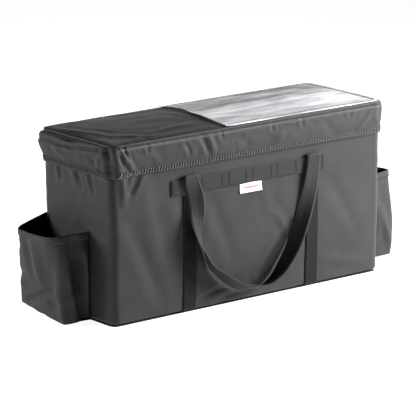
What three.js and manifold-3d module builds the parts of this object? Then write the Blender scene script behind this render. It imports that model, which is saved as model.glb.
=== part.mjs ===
// Insulated food carrier: a soft-sided box with foam walls, a lift-back lid that closes with
// hook-and-loop tape, a webbing handle on each long side and an open pocket on each end.
// Millimetres, +Z up. The origin is the middle of the base's underside, X runs along the length
// and -Y is the front, the long side that carries the label.
import * as THREE from "three";
import { mergeVertices } from "three/addons/utils/BufferGeometryUtils.js";
import Module from "manifold-3d";

const wasm = await Module();
wasm.setup();

// Driving dimensions
const LENGTH = 764; // outer faces of the body along X
const DEPTH = 250; // outer faces of the body along Y
const BODY_TOP = 386; // top of the walls, below the rim binding
const LID_SEAM_Z = 398.4; // height of the piping round the lid
const CORNER_RADIUS = 18; // vertical corners of the body
const GAP = 0.3; // between pieces that touch
const SHELL = 2; // outer fabric
const FOAM = 10; // wall, base and lid insulation
const LINER = 1.4; // wipe-clean lining
const WEBBING = 2; // thickness of the flat straps
const WEBBING_WIDTH = 38;
const STRAP_X = 175; // centre of each vertical strap, from the middle
const BAND_LEFT = -226; // ends of the stitched band across the front; the back's are mirrored
const BAND_RIGHT = 214;
const BAND_LOW = 266;
const BAND_HIGH = 302;
const STRAP_TOP = 299;
const TAPE = 1.6; // thickness of each half of the hook-and-loop closure
const TAPE_LOW = 331;
const TAPE_HIGH = 351;
const SKIRT = 2.5; // thickness of the lid's skirt
const SKIRT_LOW = 328;
const SKIRT_BACK = 112; // where the side skirts end, towards the hinge
const PIPING_RADIUS = 2.2;
const LID_CROWN = 12; // how far the middle of the lid stands above its edge
const HANDLE_THICKNESS = 3; // two layers of webbing
const WINDOW_LEFT = -57; // open edge of the clear document window

// Worked-out places
const HALF_X = LENGTH / 2;
const HALF_Y = DEPTH / 2;
const BASE_COVER_TOP = 1.8;
const STRAP_BOTTOM = BASE_COVER_TOP + GAP;
const SHELL_BOTTOM = STRAP_BOTTOM + WEBBING + GAP;
const BOARD_BOTTOM = SHELL_BOTTOM + SHELL + GAP;
const BOARD = 3;
const FOAM_BOTTOM = BOARD_BOTTOM + BOARD + GAP;
const LINER_BOTTOM = FOAM_BOTTOM + FOAM + GAP;
const WALL = SHELL + GAP + FOAM + GAP; // from the body's face to the liner's outer face
const LOOP_FACE = GAP + TAPE; // how far the loop tape's face stands off the shell
const HOOK_BACK = LOOP_FACE + GAP + TAPE; // back of the hook tape
const SKIRT_INNER = HOOK_BACK + GAP;
const SKIRT_OUTER = SKIRT_INNER + SKIRT;
const RIM_TOP = BODY_TOP + GAP + 2;
const LID_LINER_Z = RIM_TOP + GAP;
const LID_FOAM_Z = LID_LINER_Z + 1.2 + GAP;
const LID_COVER_Z = 398.1; // underside of the cover at its edge

// ---- shape helpers ----

// Closed outline of a rectangle with round corners, counter-clockwise.
function roundedRectangle(halfX, halfY, radius, steps = 6) {
  const points = [];
  const centres = [[1, 1], [-1, 1], [-1, -1], [1, -1]];
  centres.forEach(([sx, sy], corner) => {
    for (let i = 0; i <= steps; i += 1) {
      const angle = ((corner + i / steps) * Math.PI) / 2;
      points.push(new THREE.Vector2(
        sx * (halfX - radius) + radius * Math.cos(angle),
        sy * (halfY - radius) + radius * Math.sin(angle),
      ));
    }
  });
  return points;
}

// A flat plate or ring of the given outline between two heights.
function plate(outline, low, high, hole) {
  const shape = new THREE.Shape(outline);
  if (hole) shape.holes.push(new THREE.Path(hole));
  const geometry = new THREE.ExtrudeGeometry(shape, { depth: high - low, bevelEnabled: false });
  return geometry.translate(0, 0, low);
}

function block(x0, x1, y0, y1, z0, z1) {
  const geometry = new THREE.BoxGeometry(x1 - x0, y1 - y0, z1 - z0);
  return geometry.translate((x0 + x1) / 2, (y0 + y1) / 2, (z0 + z1) / 2);
}

// One closed body through rings of points, each end closed by a fan. Faces always point out.
function loft(rings) {
  const count = rings[0].length;
  const points = rings.flat();
  const faces = [];
  for (let k = 0; k + 1 < rings.length; k += 1) {
    for (let i = 0; i < count; i += 1) {
      const a = k * count + i;
      const b = k * count + ((i + 1) % count);
      faces.push([a, b, b + count], [a, b + count, a + count]);
    }
  }
  const addCap = (ring, base, flip) => {
    const middle = ring.reduce((sum, p) => sum.add(p), new THREE.Vector3()).divideScalar(count);
    const hub = points.push(middle) - 1;
    for (let i = 0; i < count; i += 1) {
      const next = base + ((i + 1) % count);
      faces.push(flip ? [hub, next, base + i] : [hub, base + i, next]);
    }
  };
  addCap(rings[0], 0, true);
  addCap(rings.at(-1), (rings.length - 1) * count, false);
  return facesPointOut(points, faces);
}

function facesPointOut(points, faces) {
  const volume = faces.reduce((sum, [a, b, c]) => (
    sum + points[a].dot(new THREE.Vector3().crossVectors(points[b], points[c]))), 0);
  const index = (volume > 0 ? faces : faces.map(([a, b, c]) => [a, c, b])).flat();
  const geometry = new THREE.BufferGeometry();
  geometry.setAttribute("position",
    new THREE.Float32BufferAttribute(points.flatMap((p) => [p.x, p.y, p.z]), 3));
  geometry.setIndex(index);
  return geometry;
}

function toSolid(geometry) {
  const bare = new THREE.BufferGeometry();
  bare.setAttribute("position", geometry.getAttribute("position").clone());
  if (geometry.index) bare.setIndex(geometry.index.clone());
  const merged = mergeVertices(bare, 1e-4);
  return new wasm.Manifold(new wasm.Mesh({
    numProp: 3,
    vertProperties: new Float32Array(merged.getAttribute("position").array),
    triVerts: new Uint32Array(merged.index.array),
  }));
}

// The first geometry with the others cut away.
function cut(geometry, ...tools) {
  const solid = tools.reduce((left, tool) => left.subtract(toSolid(tool)), toSolid(geometry));
  const mesh = solid.getMesh();
  const result = new THREE.BufferGeometry();
  result.setAttribute("position", new THREE.Float32BufferAttribute(mesh.vertProperties, 3));
  result.setIndex(Array.from(mesh.triVerts));
  return result;
}

// A flat strip along a path. Each point says which way the strip's width lies.
function ribbon(path, width, thickness) {
  const rings = path.map(({ at, across }, i) => {
    const before = path[Math.max(i - 1, 0)].at;
    const after = path[Math.min(i + 1, path.length - 1)].at;
    const along = new THREE.Vector3().subVectors(after, before).normalize();
    const side = across.clone().addScaledVector(along, -across.dot(along)).normalize();
    const face = new THREE.Vector3().crossVectors(along, side);
    const corner = (u, v) => at.clone()
      .addScaledVector(side, (u * width) / 2).addScaledVector(face, (v * thickness) / 2);
    return [corner(-1, -1), corner(1, -1), corner(1, 1), corner(-1, 1)];
  });
  return loft(rings);
}

// ---- the part as a scene graph ----

const carrier = new THREE.Group();

function add(name, geometry, look) {
  const mesh = new THREE.Mesh(geometry, new THREE.MeshStandardMaterial(look));
  mesh.name = name;
  carrier.add(mesh);
}

const NYLON = { color: 0x3a3a3c, roughness: 0.75, metalness: 0 };
const BLACK_WEBBING = { color: 0x151517, roughness: 0.85, metalness: 0 };
const LINING = { color: 0x2a2b2e, roughness: 0.45, metalness: 0 };
const FOAM_LOOK = { color: 0xe6e6e2, roughness: 0.9, metalness: 0 };
const BOARD_LOOK = { color: 0x222224, roughness: 0.6, metalness: 0 };
const TAPE_LOOK = { color: 0x101011, roughness: 0.95, metalness: 0 };
const CLEAR = { color: 0xf2f4f5, roughness: 0.12, metalness: 0 };
const LABEL_LOOK = { color: 0xf0efeb, roughness: 0.7, metalness: 0 };

// Outer shell: an open-topped fabric box with round vertical corners.
function addShell() {
  const outer = plate(roundedRectangle(HALF_X, HALF_Y, CORNER_RADIUS), SHELL_BOTTOM, BODY_TOP);
  const inside = roundedRectangle(HALF_X - SHELL, HALF_Y - SHELL, CORNER_RADIUS - SHELL);
  add("outer_shell", cut(outer, plate(inside, SHELL_BOTTOM + SHELL, BODY_TOP + 5)), NYLON);
  const base = roundedRectangle(HALF_X - SHELL, HALF_Y - SHELL, CORNER_RADIUS - SHELL);
  add("base_cover", plate(base, 0, BASE_COVER_TOP), NYLON);
}

// Stiffening board and the five foam panels between the shell and the lining.
function addInsulation() {
  const edge = SHELL + GAP;
  const board = roundedRectangle(HALF_X - edge - 1, HALF_Y - edge - 1, CORNER_RADIUS - edge);
  add("base_board", plate(board, BOARD_BOTTOM, BOARD_BOTTOM + BOARD), BOARD_LOOK);
  const floor = roundedRectangle(HALF_X - WALL, HALF_Y - WALL, CORNER_RADIUS / 2);
  add("foam_base", plate(floor, FOAM_BOTTOM, FOAM_BOTTOM + FOAM), FOAM_LOOK);
  const longHalf = HALF_X - CORNER_RADIUS - SHELL;
  const shortHalf = HALF_Y - CORNER_RADIUS - SHELL;
  [["foam_front", -1], ["foam_back", 1]].forEach(([name, side]) => {
    const middle = side * (HALF_Y - edge - FOAM / 2);
    add(name, block(-longHalf, longHalf, middle - FOAM / 2, middle + FOAM / 2,
      FOAM_BOTTOM, BODY_TOP), FOAM_LOOK);
  });
  [["foam_left", -1], ["foam_right", 1]].forEach(([name, side]) => {
    const middle = side * (HALF_X - edge - FOAM / 2);
    add(name, block(middle - FOAM / 2, middle + FOAM / 2, -shortHalf, shortHalf,
      FOAM_BOTTOM, BODY_TOP), FOAM_LOOK);
  });
}

// Wipe-clean lining, an open-topped box, and the binding that closes the top of the walls.
function addLining() {
  const outerRadius = CORNER_RADIUS / 2;
  const innerX = HALF_X - WALL - LINER;
  const innerY = HALF_Y - WALL - LINER;
  const outer = roundedRectangle(HALF_X - WALL, HALF_Y - WALL, outerRadius);
  const inner = roundedRectangle(innerX, innerY, outerRadius - LINER);
  add("inner_liner", cut(plate(outer, LINER_BOTTOM, BODY_TOP),
    plate(inner, LINER_BOTTOM + LINER, BODY_TOP + 5)), LINING);
  const rim = roundedRectangle(HALF_X, HALF_Y, CORNER_RADIUS);
  add("rim_binding", plate(rim, BODY_TOP + GAP, RIM_TOP, inner), BLACK_WEBBING);
}

// One strap: down the front, under the base between shell and base cover, and up the back.
function strapGeometry(centreX) {
  const face = HALF_Y + GAP;
  const outer = face + WEBBING;
  const low = STRAP_BOTTOM;
  const profile = [
    [-outer, STRAP_TOP], [-outer, low], [outer, low], [outer, STRAP_TOP],
    [face, STRAP_TOP], [face, low + WEBBING], [-face, low + WEBBING], [-face, STRAP_TOP],
  ].map(([y, z]) => new THREE.Vector2(y, z));
  const geometry = new THREE.ExtrudeGeometry(new THREE.Shape(profile),
    { depth: WEBBING_WIDTH, bevelEnabled: false });
  // the profile's x and y become Y and Z, and its depth becomes X
  geometry.applyMatrix4(new THREE.Matrix4().set(0, 0, 1, 0, 1, 0, 0, 0, 0, 1, 0, 0, 0, 0, 0, 1));
  return geometry.translate(centreX - WEBBING_WIDTH / 2, 0, 0);
}

function addStraps() {
  add("strap_left", strapGeometry(-STRAP_X), BLACK_WEBBING);
  add("strap_right", strapGeometry(STRAP_X), BLACK_WEBBING);
  const inner = HALF_Y + GAP + WEBBING + GAP;
  const outer = inner + WEBBING;
  add("front_band", block(BAND_LEFT, BAND_RIGHT, -outer, -inner, BAND_LOW, BAND_HIGH),
    BLACK_WEBBING);
  add("back_band", block(-BAND_RIGHT, -BAND_LEFT, inner, outer, BAND_LOW, BAND_HIGH),
    BLACK_WEBBING);
  add("label_tag", block(-34, 28, -inner - 1, -inner, BAND_LOW - GAP - 20, BAND_LOW - GAP),
    LABEL_LOOK);
}

// Handle: a loop of webbing that leaves the band's top edge, folds over it in a small roll and
// hangs in front. Each row is a point of its middle line, as X, how far it stands off the wall,
// and Z, with two angles in degrees for the way its width lies: the turn from X towards the wall,
// and the tilt that lowers the edge nearer the wall. The strap is flat against the wall at both
// ends and turns a quarter on the way down.
const HANDLE_X = 175;
const ROLL = { standOff: 6.6, z: 306.8, radius: 3 };
const HANDLE_HANG = [
  [-174.5, 9.7, 298, 1, 0], [-171, 10.2, 284, -8, 0], [-166, 12, 266, -16, 0],
  [-163.5, 13.2, 245, -17, 0], [-163.5, 14.8, 224, -8, 0], [-165, 16.5, 205, 10, 0],
  [-164, 18, 190, 24, 1], [-161.5, 19.5, 172, 38, 2], [-156.5, 20.8, 155, 47, 4],
  [-149, 22, 140, 56, 6],
  [-133, 24, 105, 70, 14], [-107, 25, 80, 80, 22], [-64, 25, 49, 87, 28], [-22, 25, 34, 90, 26],
  [20, 25, 32, 92, 18], [56, 25, 51, 98, 10], [80, 25, 77, 106, 5], [100, 24, 103, 113, 2],
  [118, 21, 133, 122, 0], [134, 17, 164, 133, 0], [146, 14, 192, 146, 0], [158, 12, 222, 163, 0],
  [167, 10.4, 256, 176, 0], [173, 9.8, 284, 178, 0], [174.5, 9.7, 298, 179, 0],
];

// The roll over the band at one end of the handle, from behind the band round to its front.
function rollRows(x, turn) {
  const rows = [180, 135, 90, 45, 0].map((degrees) => {
    const angle = THREE.MathUtils.degToRad(degrees);
    return [x, ROLL.standOff + ROLL.radius * Math.cos(angle),
      ROLL.z + ROLL.radius * Math.sin(angle), turn, 0];
  });
  return x < 0 ? rows : rows.reverse();
}

// The rows with others evenly spaced between each pair, so that the strap turns gradually and its
// two faces stay apart.
function refined(rows, steps) {
  const mixed = rows.slice(1).flatMap((row, i) => (
    Array.from({ length: steps }, (_, k) => (
      row.map((value, j) => rows[i][j] + ((value - rows[i][j]) * k) / steps)))));
  return [...mixed, rows.at(-1)];
}

function handleGeometry() {
  const hang = refined(HANDLE_HANG, 3);
  const rows = [...rollRows(-HANDLE_X, 1), ...hang, ...rollRows(HANDLE_X, 179)];
  const path = rows.map(([x, standOff, z, turnDegrees, tiltDegrees]) => {
    const turn = THREE.MathUtils.degToRad(turnDegrees);
    const tilt = THREE.MathUtils.degToRad(tiltDegrees);
    const level = Math.cos(tilt);
    const across = new THREE.Vector3(
      level * Math.cos(turn), level * Math.sin(turn), -Math.sin(tilt));
    return { at: new THREE.Vector3(x, -HALF_Y - standOff, z), across };
  });
  return ribbon(path, WEBBING_WIDTH, HANDLE_THICKNESS);
}

function addHandles() {
  add("handle_front", handleGeometry(), BLACK_WEBBING);
  add("handle_back", handleGeometry().rotateZ(Math.PI), BLACK_WEBBING);
}

// Pockets. Each section gives, at one height, how far the pocket stands out at its front and
// back corners, with the four heights of its edge: front seam, front corner, back corner, back seam.
const POCKET_FRONT = -41;
const POCKET_BACK = 118;
const POCKET_WRAP = 6; // length of the back seam's side that lies round the body's corner
const POCKET_TUCK = 3.4; // how far that corner has turned in where the back seam is
const POCKET_LEVELS = [0, 0.2, 0.4, 0.7, 0.91, 1];
const HEM_LEVELS = [0.91, 1];
const POCKETS = {
  left: {
    low: { front: 74, back: 72, bulge: 2, radius: 8, heights: [4, 4, 22, 12] },
    middle: { front: 80, back: 76, bulge: 8, radius: 16, heights: [78, 78, 92, 88] },
    rim: { front: 102, back: 86, bulge: 6, radius: 34, heights: [199, 197, 189, 212] },
  },
  right: {
    low: { front: 116, back: 92, bulge: 2, radius: 8, heights: [4, 7, 16, 12] },
    middle: { front: 128, back: 98, bulge: 6, radius: 16, heights: [78, 76, 84, 84] },
    rim: { front: 114, back: 92, bulge: 4, radius: 14, heights: [199, 207, 203, 212] },
  },
};
const MIDDLE_LEVEL = 0.4;

function sectionAt(pocket, level) {
  const lower = level <= MIDDLE_LEVEL;
  const [from, to] = lower ? [pocket.low, pocket.middle] : [pocket.middle, pocket.rim];
  const share = lower ? level / MIDDLE_LEVEL : (level - MIDDLE_LEVEL) / (1 - MIDDLE_LEVEL);
  const mix = (a, b) => a + (b - a) * share;
  return {
    front: mix(from.front, to.front),
    back: mix(from.back, to.back),
    bulge: mix(from.bulge, to.bulge),
    radius: mix(from.radius, to.radius),
    heights: from.heights.map((z, i) => mix(z, to.heights[i])),
  };
}

// Points round a corner, from one radius before it to one radius after it.
function roundCorner(before, corner, after, radius) {
  const towards = (other) => new THREE.Vector3().subVectors(other, corner);
  const start = corner.clone().addScaledVector(towards(before).normalize(), radius);
  const end = corner.clone().addScaledVector(towards(after).normalize(), radius);
  return new THREE.QuadraticBezierCurve3(start, corner, end).getPoints(4);
}

// Closed ring round the pocket on one end (side -1 or 1), moved outwards by offset. The wall side
// reaches past the body's face by overrun, so that a cut opens it.
function pocketRing(side, section, offset, overrun, lift) {
  const point = (reach, y, z) => new THREE.Vector3(side * (HALF_X + GAP + reach), y, z + lift);
  const [zFront, zFrontCorner, zBackCorner, zBack] = section.heights;
  const front = POCKET_FRONT - offset;
  const back = POCKET_BACK + offset;
  const frontSeam = point(-overrun, front, zFront);
  const frontCorner = point(section.front + offset, front + 4, zFrontCorner);
  const backCorner = point(section.back + offset, back - 2, zBackCorner);
  const backSeam = point(-POCKET_TUCK - overrun, back, zBack);
  const wallBack = point(-overrun, POCKET_BACK - POCKET_WRAP, (zFront + 3 * zBack) / 4);
  const middle = frontCorner.clone().lerp(backCorner, 0.5);
  middle.x += side * section.bulge;
  const ring = [
    frontSeam,
    frontSeam.clone().lerp(frontCorner, 0.45),
    ...roundCorner(frontSeam, frontCorner, middle, section.radius),
    middle,
    ...roundCorner(middle, backCorner, backSeam, section.radius * 0.7),
    backCorner.clone().lerp(backSeam, 0.55),
    backSeam,
    wallBack,
  ];
  return side < 0 ? ring.reverse() : ring;
}

function pocketBody(side, pocket, levels, offset, overrun, lifts) {
  return loft(levels.map((level, i) => {
    const lift = i === 0 ? lifts[0] : (i === levels.length - 1 ? lifts[1] : 0);
    return pocketRing(side, sectionAt(pocket, level), offset, overrun, lift);
  }));
}

function addPockets() {
  const wall = 2;
  const hem = 1.2;
  const hemGap = 0.8; // the hem stands a little off the curved wall
  const open = 4;
  [["left", -1], ["right", 1]].forEach(([name, side]) => {
    const pocket = POCKETS[name];
    const outer = pocketBody(side, pocket, POCKET_LEVELS, 0, 0, [0, 0]);
    const inner = pocketBody(side, pocket, POCKET_LEVELS, -wall, open, [wall, open]);
    add(`${name}_pocket`, cut(outer, inner), NYLON);
    const hemOuter = pocketBody(side, pocket, HEM_LEVELS, hemGap + hem, 0, [0, 0]);
    const hemInner = pocketBody(side, pocket, HEM_LEVELS, hemGap, open, [-open, open]);
    add(`${name}_pocket_hem`, cut(hemOuter, hemInner), NYLON);
  });
}

// Hook-and-loop closure: loop tape on the body, hook tape inside the skirt, on three sides.
function addClosure() {
  const frontHalf = HALF_X - CORNER_RADIUS - 14;
  const sideHalf = HALF_Y - CORNER_RADIUS - 4;
  [["loop_tape", GAP, LOOP_FACE], ["hook_tape", LOOP_FACE + GAP, HOOK_BACK]]
    .forEach(([name, near, far]) => {
      add(`${name}_front`, block(-frontHalf, frontHalf, -HALF_Y - far, -HALF_Y - near,
        TAPE_LOW, TAPE_HIGH), TAPE_LOOK);
      add(`${name}_left`, block(-HALF_X - far, -HALF_X - near, -sideHalf, sideHalf,
        TAPE_LOW, TAPE_HIGH), TAPE_LOOK);
      add(`${name}_right`, block(HALF_X + near, HALF_X + far, -sideHalf, sideHalf,
        TAPE_LOW, TAPE_HIGH), TAPE_LOOK);
    });
}

// Fabric hinge: a strip sewn along the top of the back wall, which the lid folds about.
function addHinge() {
  const half = HALF_X - CORNER_RADIUS - 6;
  add("hinge_strip", block(-half, half, HALF_Y + GAP, HALF_Y + GAP + 1.5, BODY_TOP - 36,
    BODY_TOP), NYLON);
}

// Height of the lid's crown above its edge.
function crown(x, y) {
  const u = Math.min(Math.abs(x) / HALF_X, 1);
  const v = Math.min(Math.abs(y) / HALF_Y, 1);
  return LID_CROWN * (1 - u ** 4) * (1 - v ** 2);
}

// A pad whose top follows the crown. Its underside is flat, or follows the crown too.
function crownedPad(halfX, halfY, radius, low, high, lowFollows) {
  const shares = [0.2, 0.45, 0.65, 0.8, 0.92, 1];
  const ringAt = (share, z, follows) => roundedRectangle(halfX, halfY, radius, 4).map((p) => {
    const x = p.x * share;
    const y = p.y * share;
    return new THREE.Vector3(x, y, z + (follows ? crown(x, y) : 0));
  });
  return loft([
    ...shares.map((share) => ringAt(share, low, lowFollows)),
    ...shares.toReversed().map((share) => ringAt(share, high, true)),
  ]);
}

// A thin sheet lying on the crown, lift above the cover's underside edge.
function sheetOnLid(x0, x1, y0, y1, lift, thickness) {
  const columns = Math.max(2, Math.ceil((x1 - x0) / 45));
  const rows = Math.max(2, Math.ceil((y1 - y0) / 24));
  const rings = [];
  for (let i = 0; i <= columns; i += 1) {
    const x = x0 + ((x1 - x0) * i) / columns;
    const ring = [];
    for (let j = 0; j <= rows; j += 1) {
      const y = y0 + ((y1 - y0) * j) / rows;
      ring.push(new THREE.Vector3(x, y, LID_COVER_Z + crown(x, y) + lift));
    }
    for (let j = rows; j >= 0; j -= 1) {
      ring.push(ring[j].clone().add(new THREE.Vector3(0, 0, thickness)));
    }
    rings.push(ring);
  }
  return loft(rings);
}

// Lid pad: lining, foam and cover, with piping round the top edge and a skirt on three sides.
function addLid() {
  const foamX = HALF_X + 1;
  const foamY = HALF_Y + 1;
  const radius = CORNER_RADIUS + 1;
  add("lid_liner", plate(roundedRectangle(foamX, foamY, radius), LID_LINER_Z,
    LID_LINER_Z + 1.2), LINING);
  add("lid_foam", crownedPad(foamX, foamY, radius, LID_FOAM_Z, LID_COVER_Z - GAP, false),
    FOAM_LOOK);
  add("lid_cover", crownedPad(foamX + 0.9, foamY + 0.9, radius + 0.9, LID_COVER_Z,
    LID_COVER_Z + SHELL, true), NYLON);
  const outer = roundedRectangle(HALF_X + SKIRT_OUTER, HALF_Y + SKIRT_OUTER,
    CORNER_RADIUS + SKIRT_OUTER);
  const inner = roundedRectangle(HALF_X + SKIRT_INNER, HALF_Y + SKIRT_INNER,
    CORNER_RADIUS + SKIRT_INNER);
  const skirtTop = LID_SEAM_Z - PIPING_RADIUS - GAP;
  const away = block(-LENGTH, LENGTH, SKIRT_BACK, DEPTH, 0, 2 * BODY_TOP);
  add("lid_skirt", cut(plate(outer, SKIRT_LOW, skirtTop, inner), away), NYLON);
}

function addPiping() {
  const reach = SKIRT_OUTER - PIPING_RADIUS;
  const line = roundedRectangle(HALF_X + reach, HALF_Y + reach, CORNER_RADIUS + reach, 5);
  const sides = 8;
  const rings = [];
  for (let k = 0; k < sides; k += 1) {
    const angle = (2 * Math.PI * k) / sides;
    const grow = PIPING_RADIUS * Math.cos(angle);
    const z = LID_SEAM_Z + PIPING_RADIUS * Math.sin(angle);
    const outline = roundedRectangle(HALF_X + reach + grow, HALF_Y + reach + grow,
      CORNER_RADIUS + reach + grow, 5);
    rings.push(outline.map((p) => new THREE.Vector3(p.x, p.y, z)));
  }
  add("lid_piping", torusBody(rings, line.length), BLACK_WEBBING);
}

// A closed ring body: rings are joined one to the next and the last to the first.
function torusBody(rings, count) {
  const faces = [];
  rings.forEach((_, k) => {
    for (let i = 0; i < count; i += 1) {
      const next = (i + 1) % count;
      const far = ((k + 1) % rings.length) * count;
      const a = k * count + i;
      const b = k * count + next;
      faces.push([a, b, far + next], [a, far + next, far + i]);
    }
  });
  return facesPointOut(rings.flat(), faces);
}

// Clear document window on the right of the lid: sewn on three sides, open at its left edge.
function addWindow() {
  const right = HALF_X - 14;
  const edge = HALF_Y - 8;
  const tape = 11;
  const above = SHELL + 1;
  const sheet = 0.8;
  const tapeLift = above + sheet + 0.6;
  add("document_window", sheetOnLid(WINDOW_LEFT, right, -edge, edge, above, sheet), CLEAR);
  add("window_tape_front", sheetOnLid(WINDOW_LEFT, right, -edge, -edge + tape, tapeLift, 0.8),
    CLEAR);
  add("window_tape_back", sheetOnLid(WINDOW_LEFT, right, edge - tape, edge, tapeLift, 0.8),
    CLEAR);
  add("window_tape_right", sheetOnLid(right - tape, right, -edge + tape + 1, edge - tape - 1,
    tapeLift, 0.8), CLEAR);
}

addShell();
addInsulation();
addLining();
addStraps();
addHandles();
addPockets();
addClosure();
addHinge();
addLid();
addPiping();
addWindow();

export default carrier;
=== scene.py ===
"""Looks for an insulated food carrier: a padded fabric box with a lift-back lid, webbing handles
and an open pocket on each end. Shapes are worked out in millimetres and made in metres."""
import itertools
import math

import bpy
import numpy as np
from mathutils import Matrix, Vector


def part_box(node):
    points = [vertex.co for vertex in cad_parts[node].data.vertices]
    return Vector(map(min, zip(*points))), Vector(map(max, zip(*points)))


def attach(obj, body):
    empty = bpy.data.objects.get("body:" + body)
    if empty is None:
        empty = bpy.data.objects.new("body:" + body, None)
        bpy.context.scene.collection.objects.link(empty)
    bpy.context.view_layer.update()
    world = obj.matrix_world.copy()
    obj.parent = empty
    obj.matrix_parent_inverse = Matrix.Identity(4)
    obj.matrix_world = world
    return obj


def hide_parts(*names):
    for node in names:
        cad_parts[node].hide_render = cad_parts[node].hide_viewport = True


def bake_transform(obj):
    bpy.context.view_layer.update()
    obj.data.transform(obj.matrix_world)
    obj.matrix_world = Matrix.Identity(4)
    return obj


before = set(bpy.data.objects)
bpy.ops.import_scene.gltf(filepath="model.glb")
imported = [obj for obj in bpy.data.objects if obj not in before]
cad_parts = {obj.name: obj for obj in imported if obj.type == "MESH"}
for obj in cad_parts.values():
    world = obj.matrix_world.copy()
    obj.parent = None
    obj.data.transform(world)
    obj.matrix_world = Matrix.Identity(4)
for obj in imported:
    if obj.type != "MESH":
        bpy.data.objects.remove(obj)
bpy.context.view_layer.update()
MM = 0.001


def box_mm(node):
    """The lowest and highest corner of a frame node's box."""
    low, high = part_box(node)
    return np.array(low) / MM, np.array(high) / MM


# ---- places taken from the frame ----

SHELL_LOW, SHELL_HIGH = box_mm("outer_shell")
HALF_X, HALF_Y, BODY_TOP = SHELL_HIGH
SHELL_BOTTOM = SHELL_LOW[2]
CORNER_RADIUS = 18
(_, _, SKIRT_LOW), (SKIRT_RIGHT, SKIRT_BACK, SKIRT_TOP) = box_mm("lid_skirt")
(_, _, PIPING_LOW), (_, _, PIPING_TOP) = box_mm("lid_piping")
SEAM_Z = (PIPING_LOW + PIPING_TOP) / 2
PIPING_RADIUS = (PIPING_TOP - PIPING_LOW) / 2
PIPING_REACH = SKIRT_RIGHT - HALF_X - PIPING_RADIUS
LID_EDGE_Z = box_mm("lid_cover")[0][2] + 2
LID_CROWN = box_mm("lid_cover")[1][2] - LID_EDGE_Z
LID_BAND_LOW = box_mm("lid_liner")[1][2] + 0.2
STRAP_LOW, STRAP_HIGH = box_mm("strap_left")
STRAP_WIDTH = STRAP_HIGH[0] - STRAP_LOW[0]
STRAP_X = (STRAP_LOW[0] + STRAP_HIGH[0]) / -2
BAND_LOW, BAND_HIGH = box_mm("front_band")
LABEL_LOW, LABEL_HIGH = box_mm("label_tag")
LINER_LOW, LINER_HIGH = box_mm("inner_liner")


# ---- camera, at the photograph's angle ----

def add_camera():
    azimuth, elevation, distance = math.radians(38.9), math.radians(13.8), 6.564
    forward = Vector((math.sin(azimuth) * math.cos(elevation),
                      math.cos(azimuth) * math.cos(elevation), -math.sin(elevation)))
    target = Vector((-0.021, 0, 0.187))
    data = bpy.data.cameras.new("camera")
    data.sensor_width, data.lens, data.clip_end = 36, 254, 50
    camera = bpy.data.objects.new("camera", data)
    camera.location = target - forward * distance
    camera.rotation_mode = "QUATERNION"
    camera.rotation_quaternion = forward.to_track_quat("-Z", "Y")
    bpy.context.scene.collection.objects.link(camera)
    bpy.context.scene.camera = camera


# ---- maths for soft surfaces ----

def paired(u, v):
    """u and v as arrays of one shape."""
    return np.broadcast_arrays(np.asarray(u, float), np.asarray(v, float))


def distances(line):
    """How far along a line of points each of them is."""
    return np.concatenate([[0], np.cumsum(np.linalg.norm(np.diff(line, axis=0), axis=1))])


def smooth_step(low, high, value):
    """0 at low, 1 at high, eased at both ends."""
    share = np.clip((np.asarray(value, float) - low) / (high - low), 0, 1)
    return share * share * (3 - 2 * share)


def bump(value, centre, half_width):
    """A soft bell of height 1."""
    return np.exp(-(((np.asarray(value, float) - centre) / half_width) ** 2))


def noise(points, cell, seed=0):
    """Smooth noise from -1 to 1. points has a coordinate in each place of its last axis."""
    scaled = np.asarray(points, float) / cell
    low = np.floor(scaled).astype(np.int64)
    part = scaled - low
    part = part * part * (3 - 2 * part)
    keys = np.array([73856093, 19349663, 83492791])[:scaled.shape[-1]]
    total = np.zeros(scaled.shape[:-1])
    for corner in itertools.product((0, 1), repeat=scaled.shape[-1]):
        mixed = ((low + corner) * keys).sum(-1) + seed * 2654435
        mixed = (mixed ^ (mixed >> 7)) * 1274126177
        mixed = (mixed ^ (mixed >> 15)) & 0xFFFF
        weight = np.where(np.array(corner) == 1, part, 1 - part).prod(-1)
        total += weight * (mixed / 0x7FFF - 1)
    return total


def noise2(u, v, cell, seed=0):
    return noise(np.stack(paired(u, v), -1), cell, seed)


def folded(u, v, folds):
    """Height of a set of creases at (u, v). A fold is (u0, v0, u1, v1, half width, height),
    a ridge or, below zero, a valley, with a low shoulder of the other sign on each side."""
    u, v = paired(u, v)
    total = np.zeros(u.shape)
    for u0, v0, u1, v1, width, height in folds:
        du, dv = u1 - u0, v1 - v0
        share = np.clip(((u - u0) * du + (v - v0) * dv) / (du * du + dv * dv), 0, 1)
        away = np.hypot(u - u0 - share * du, v - v0 - share * dv) / width
        fade = np.sin(np.pi * (0.12 + 0.76 * share)) ** 0.7
        total += height * fade * (np.exp(-away**2) - 0.45 * np.exp(-((away - 1.9) ** 2)))
    return total


def stray_folds(count, u_range, v_range, length, width, height, seed, slope=(-1.5, 1.5)):
    """Faint creases at set random places, for cloth that has been handled."""
    rng = np.random.default_rng(seed)
    folds = []
    for _ in range(count):
        u, v = rng.uniform(*u_range), rng.uniform(*v_range)
        turn, reach = rng.uniform(*slope), length * rng.uniform(0.5, 1.3) / 2
        du, dv = reach * math.cos(turn), reach * math.sin(turn)
        folds.append((u - du, v - dv, u + du, v + dv, width * rng.uniform(0.6, 1.5),
                      height * rng.uniform(0.4, 1) * rng.choice([-1, 1])))
    return folds


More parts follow.
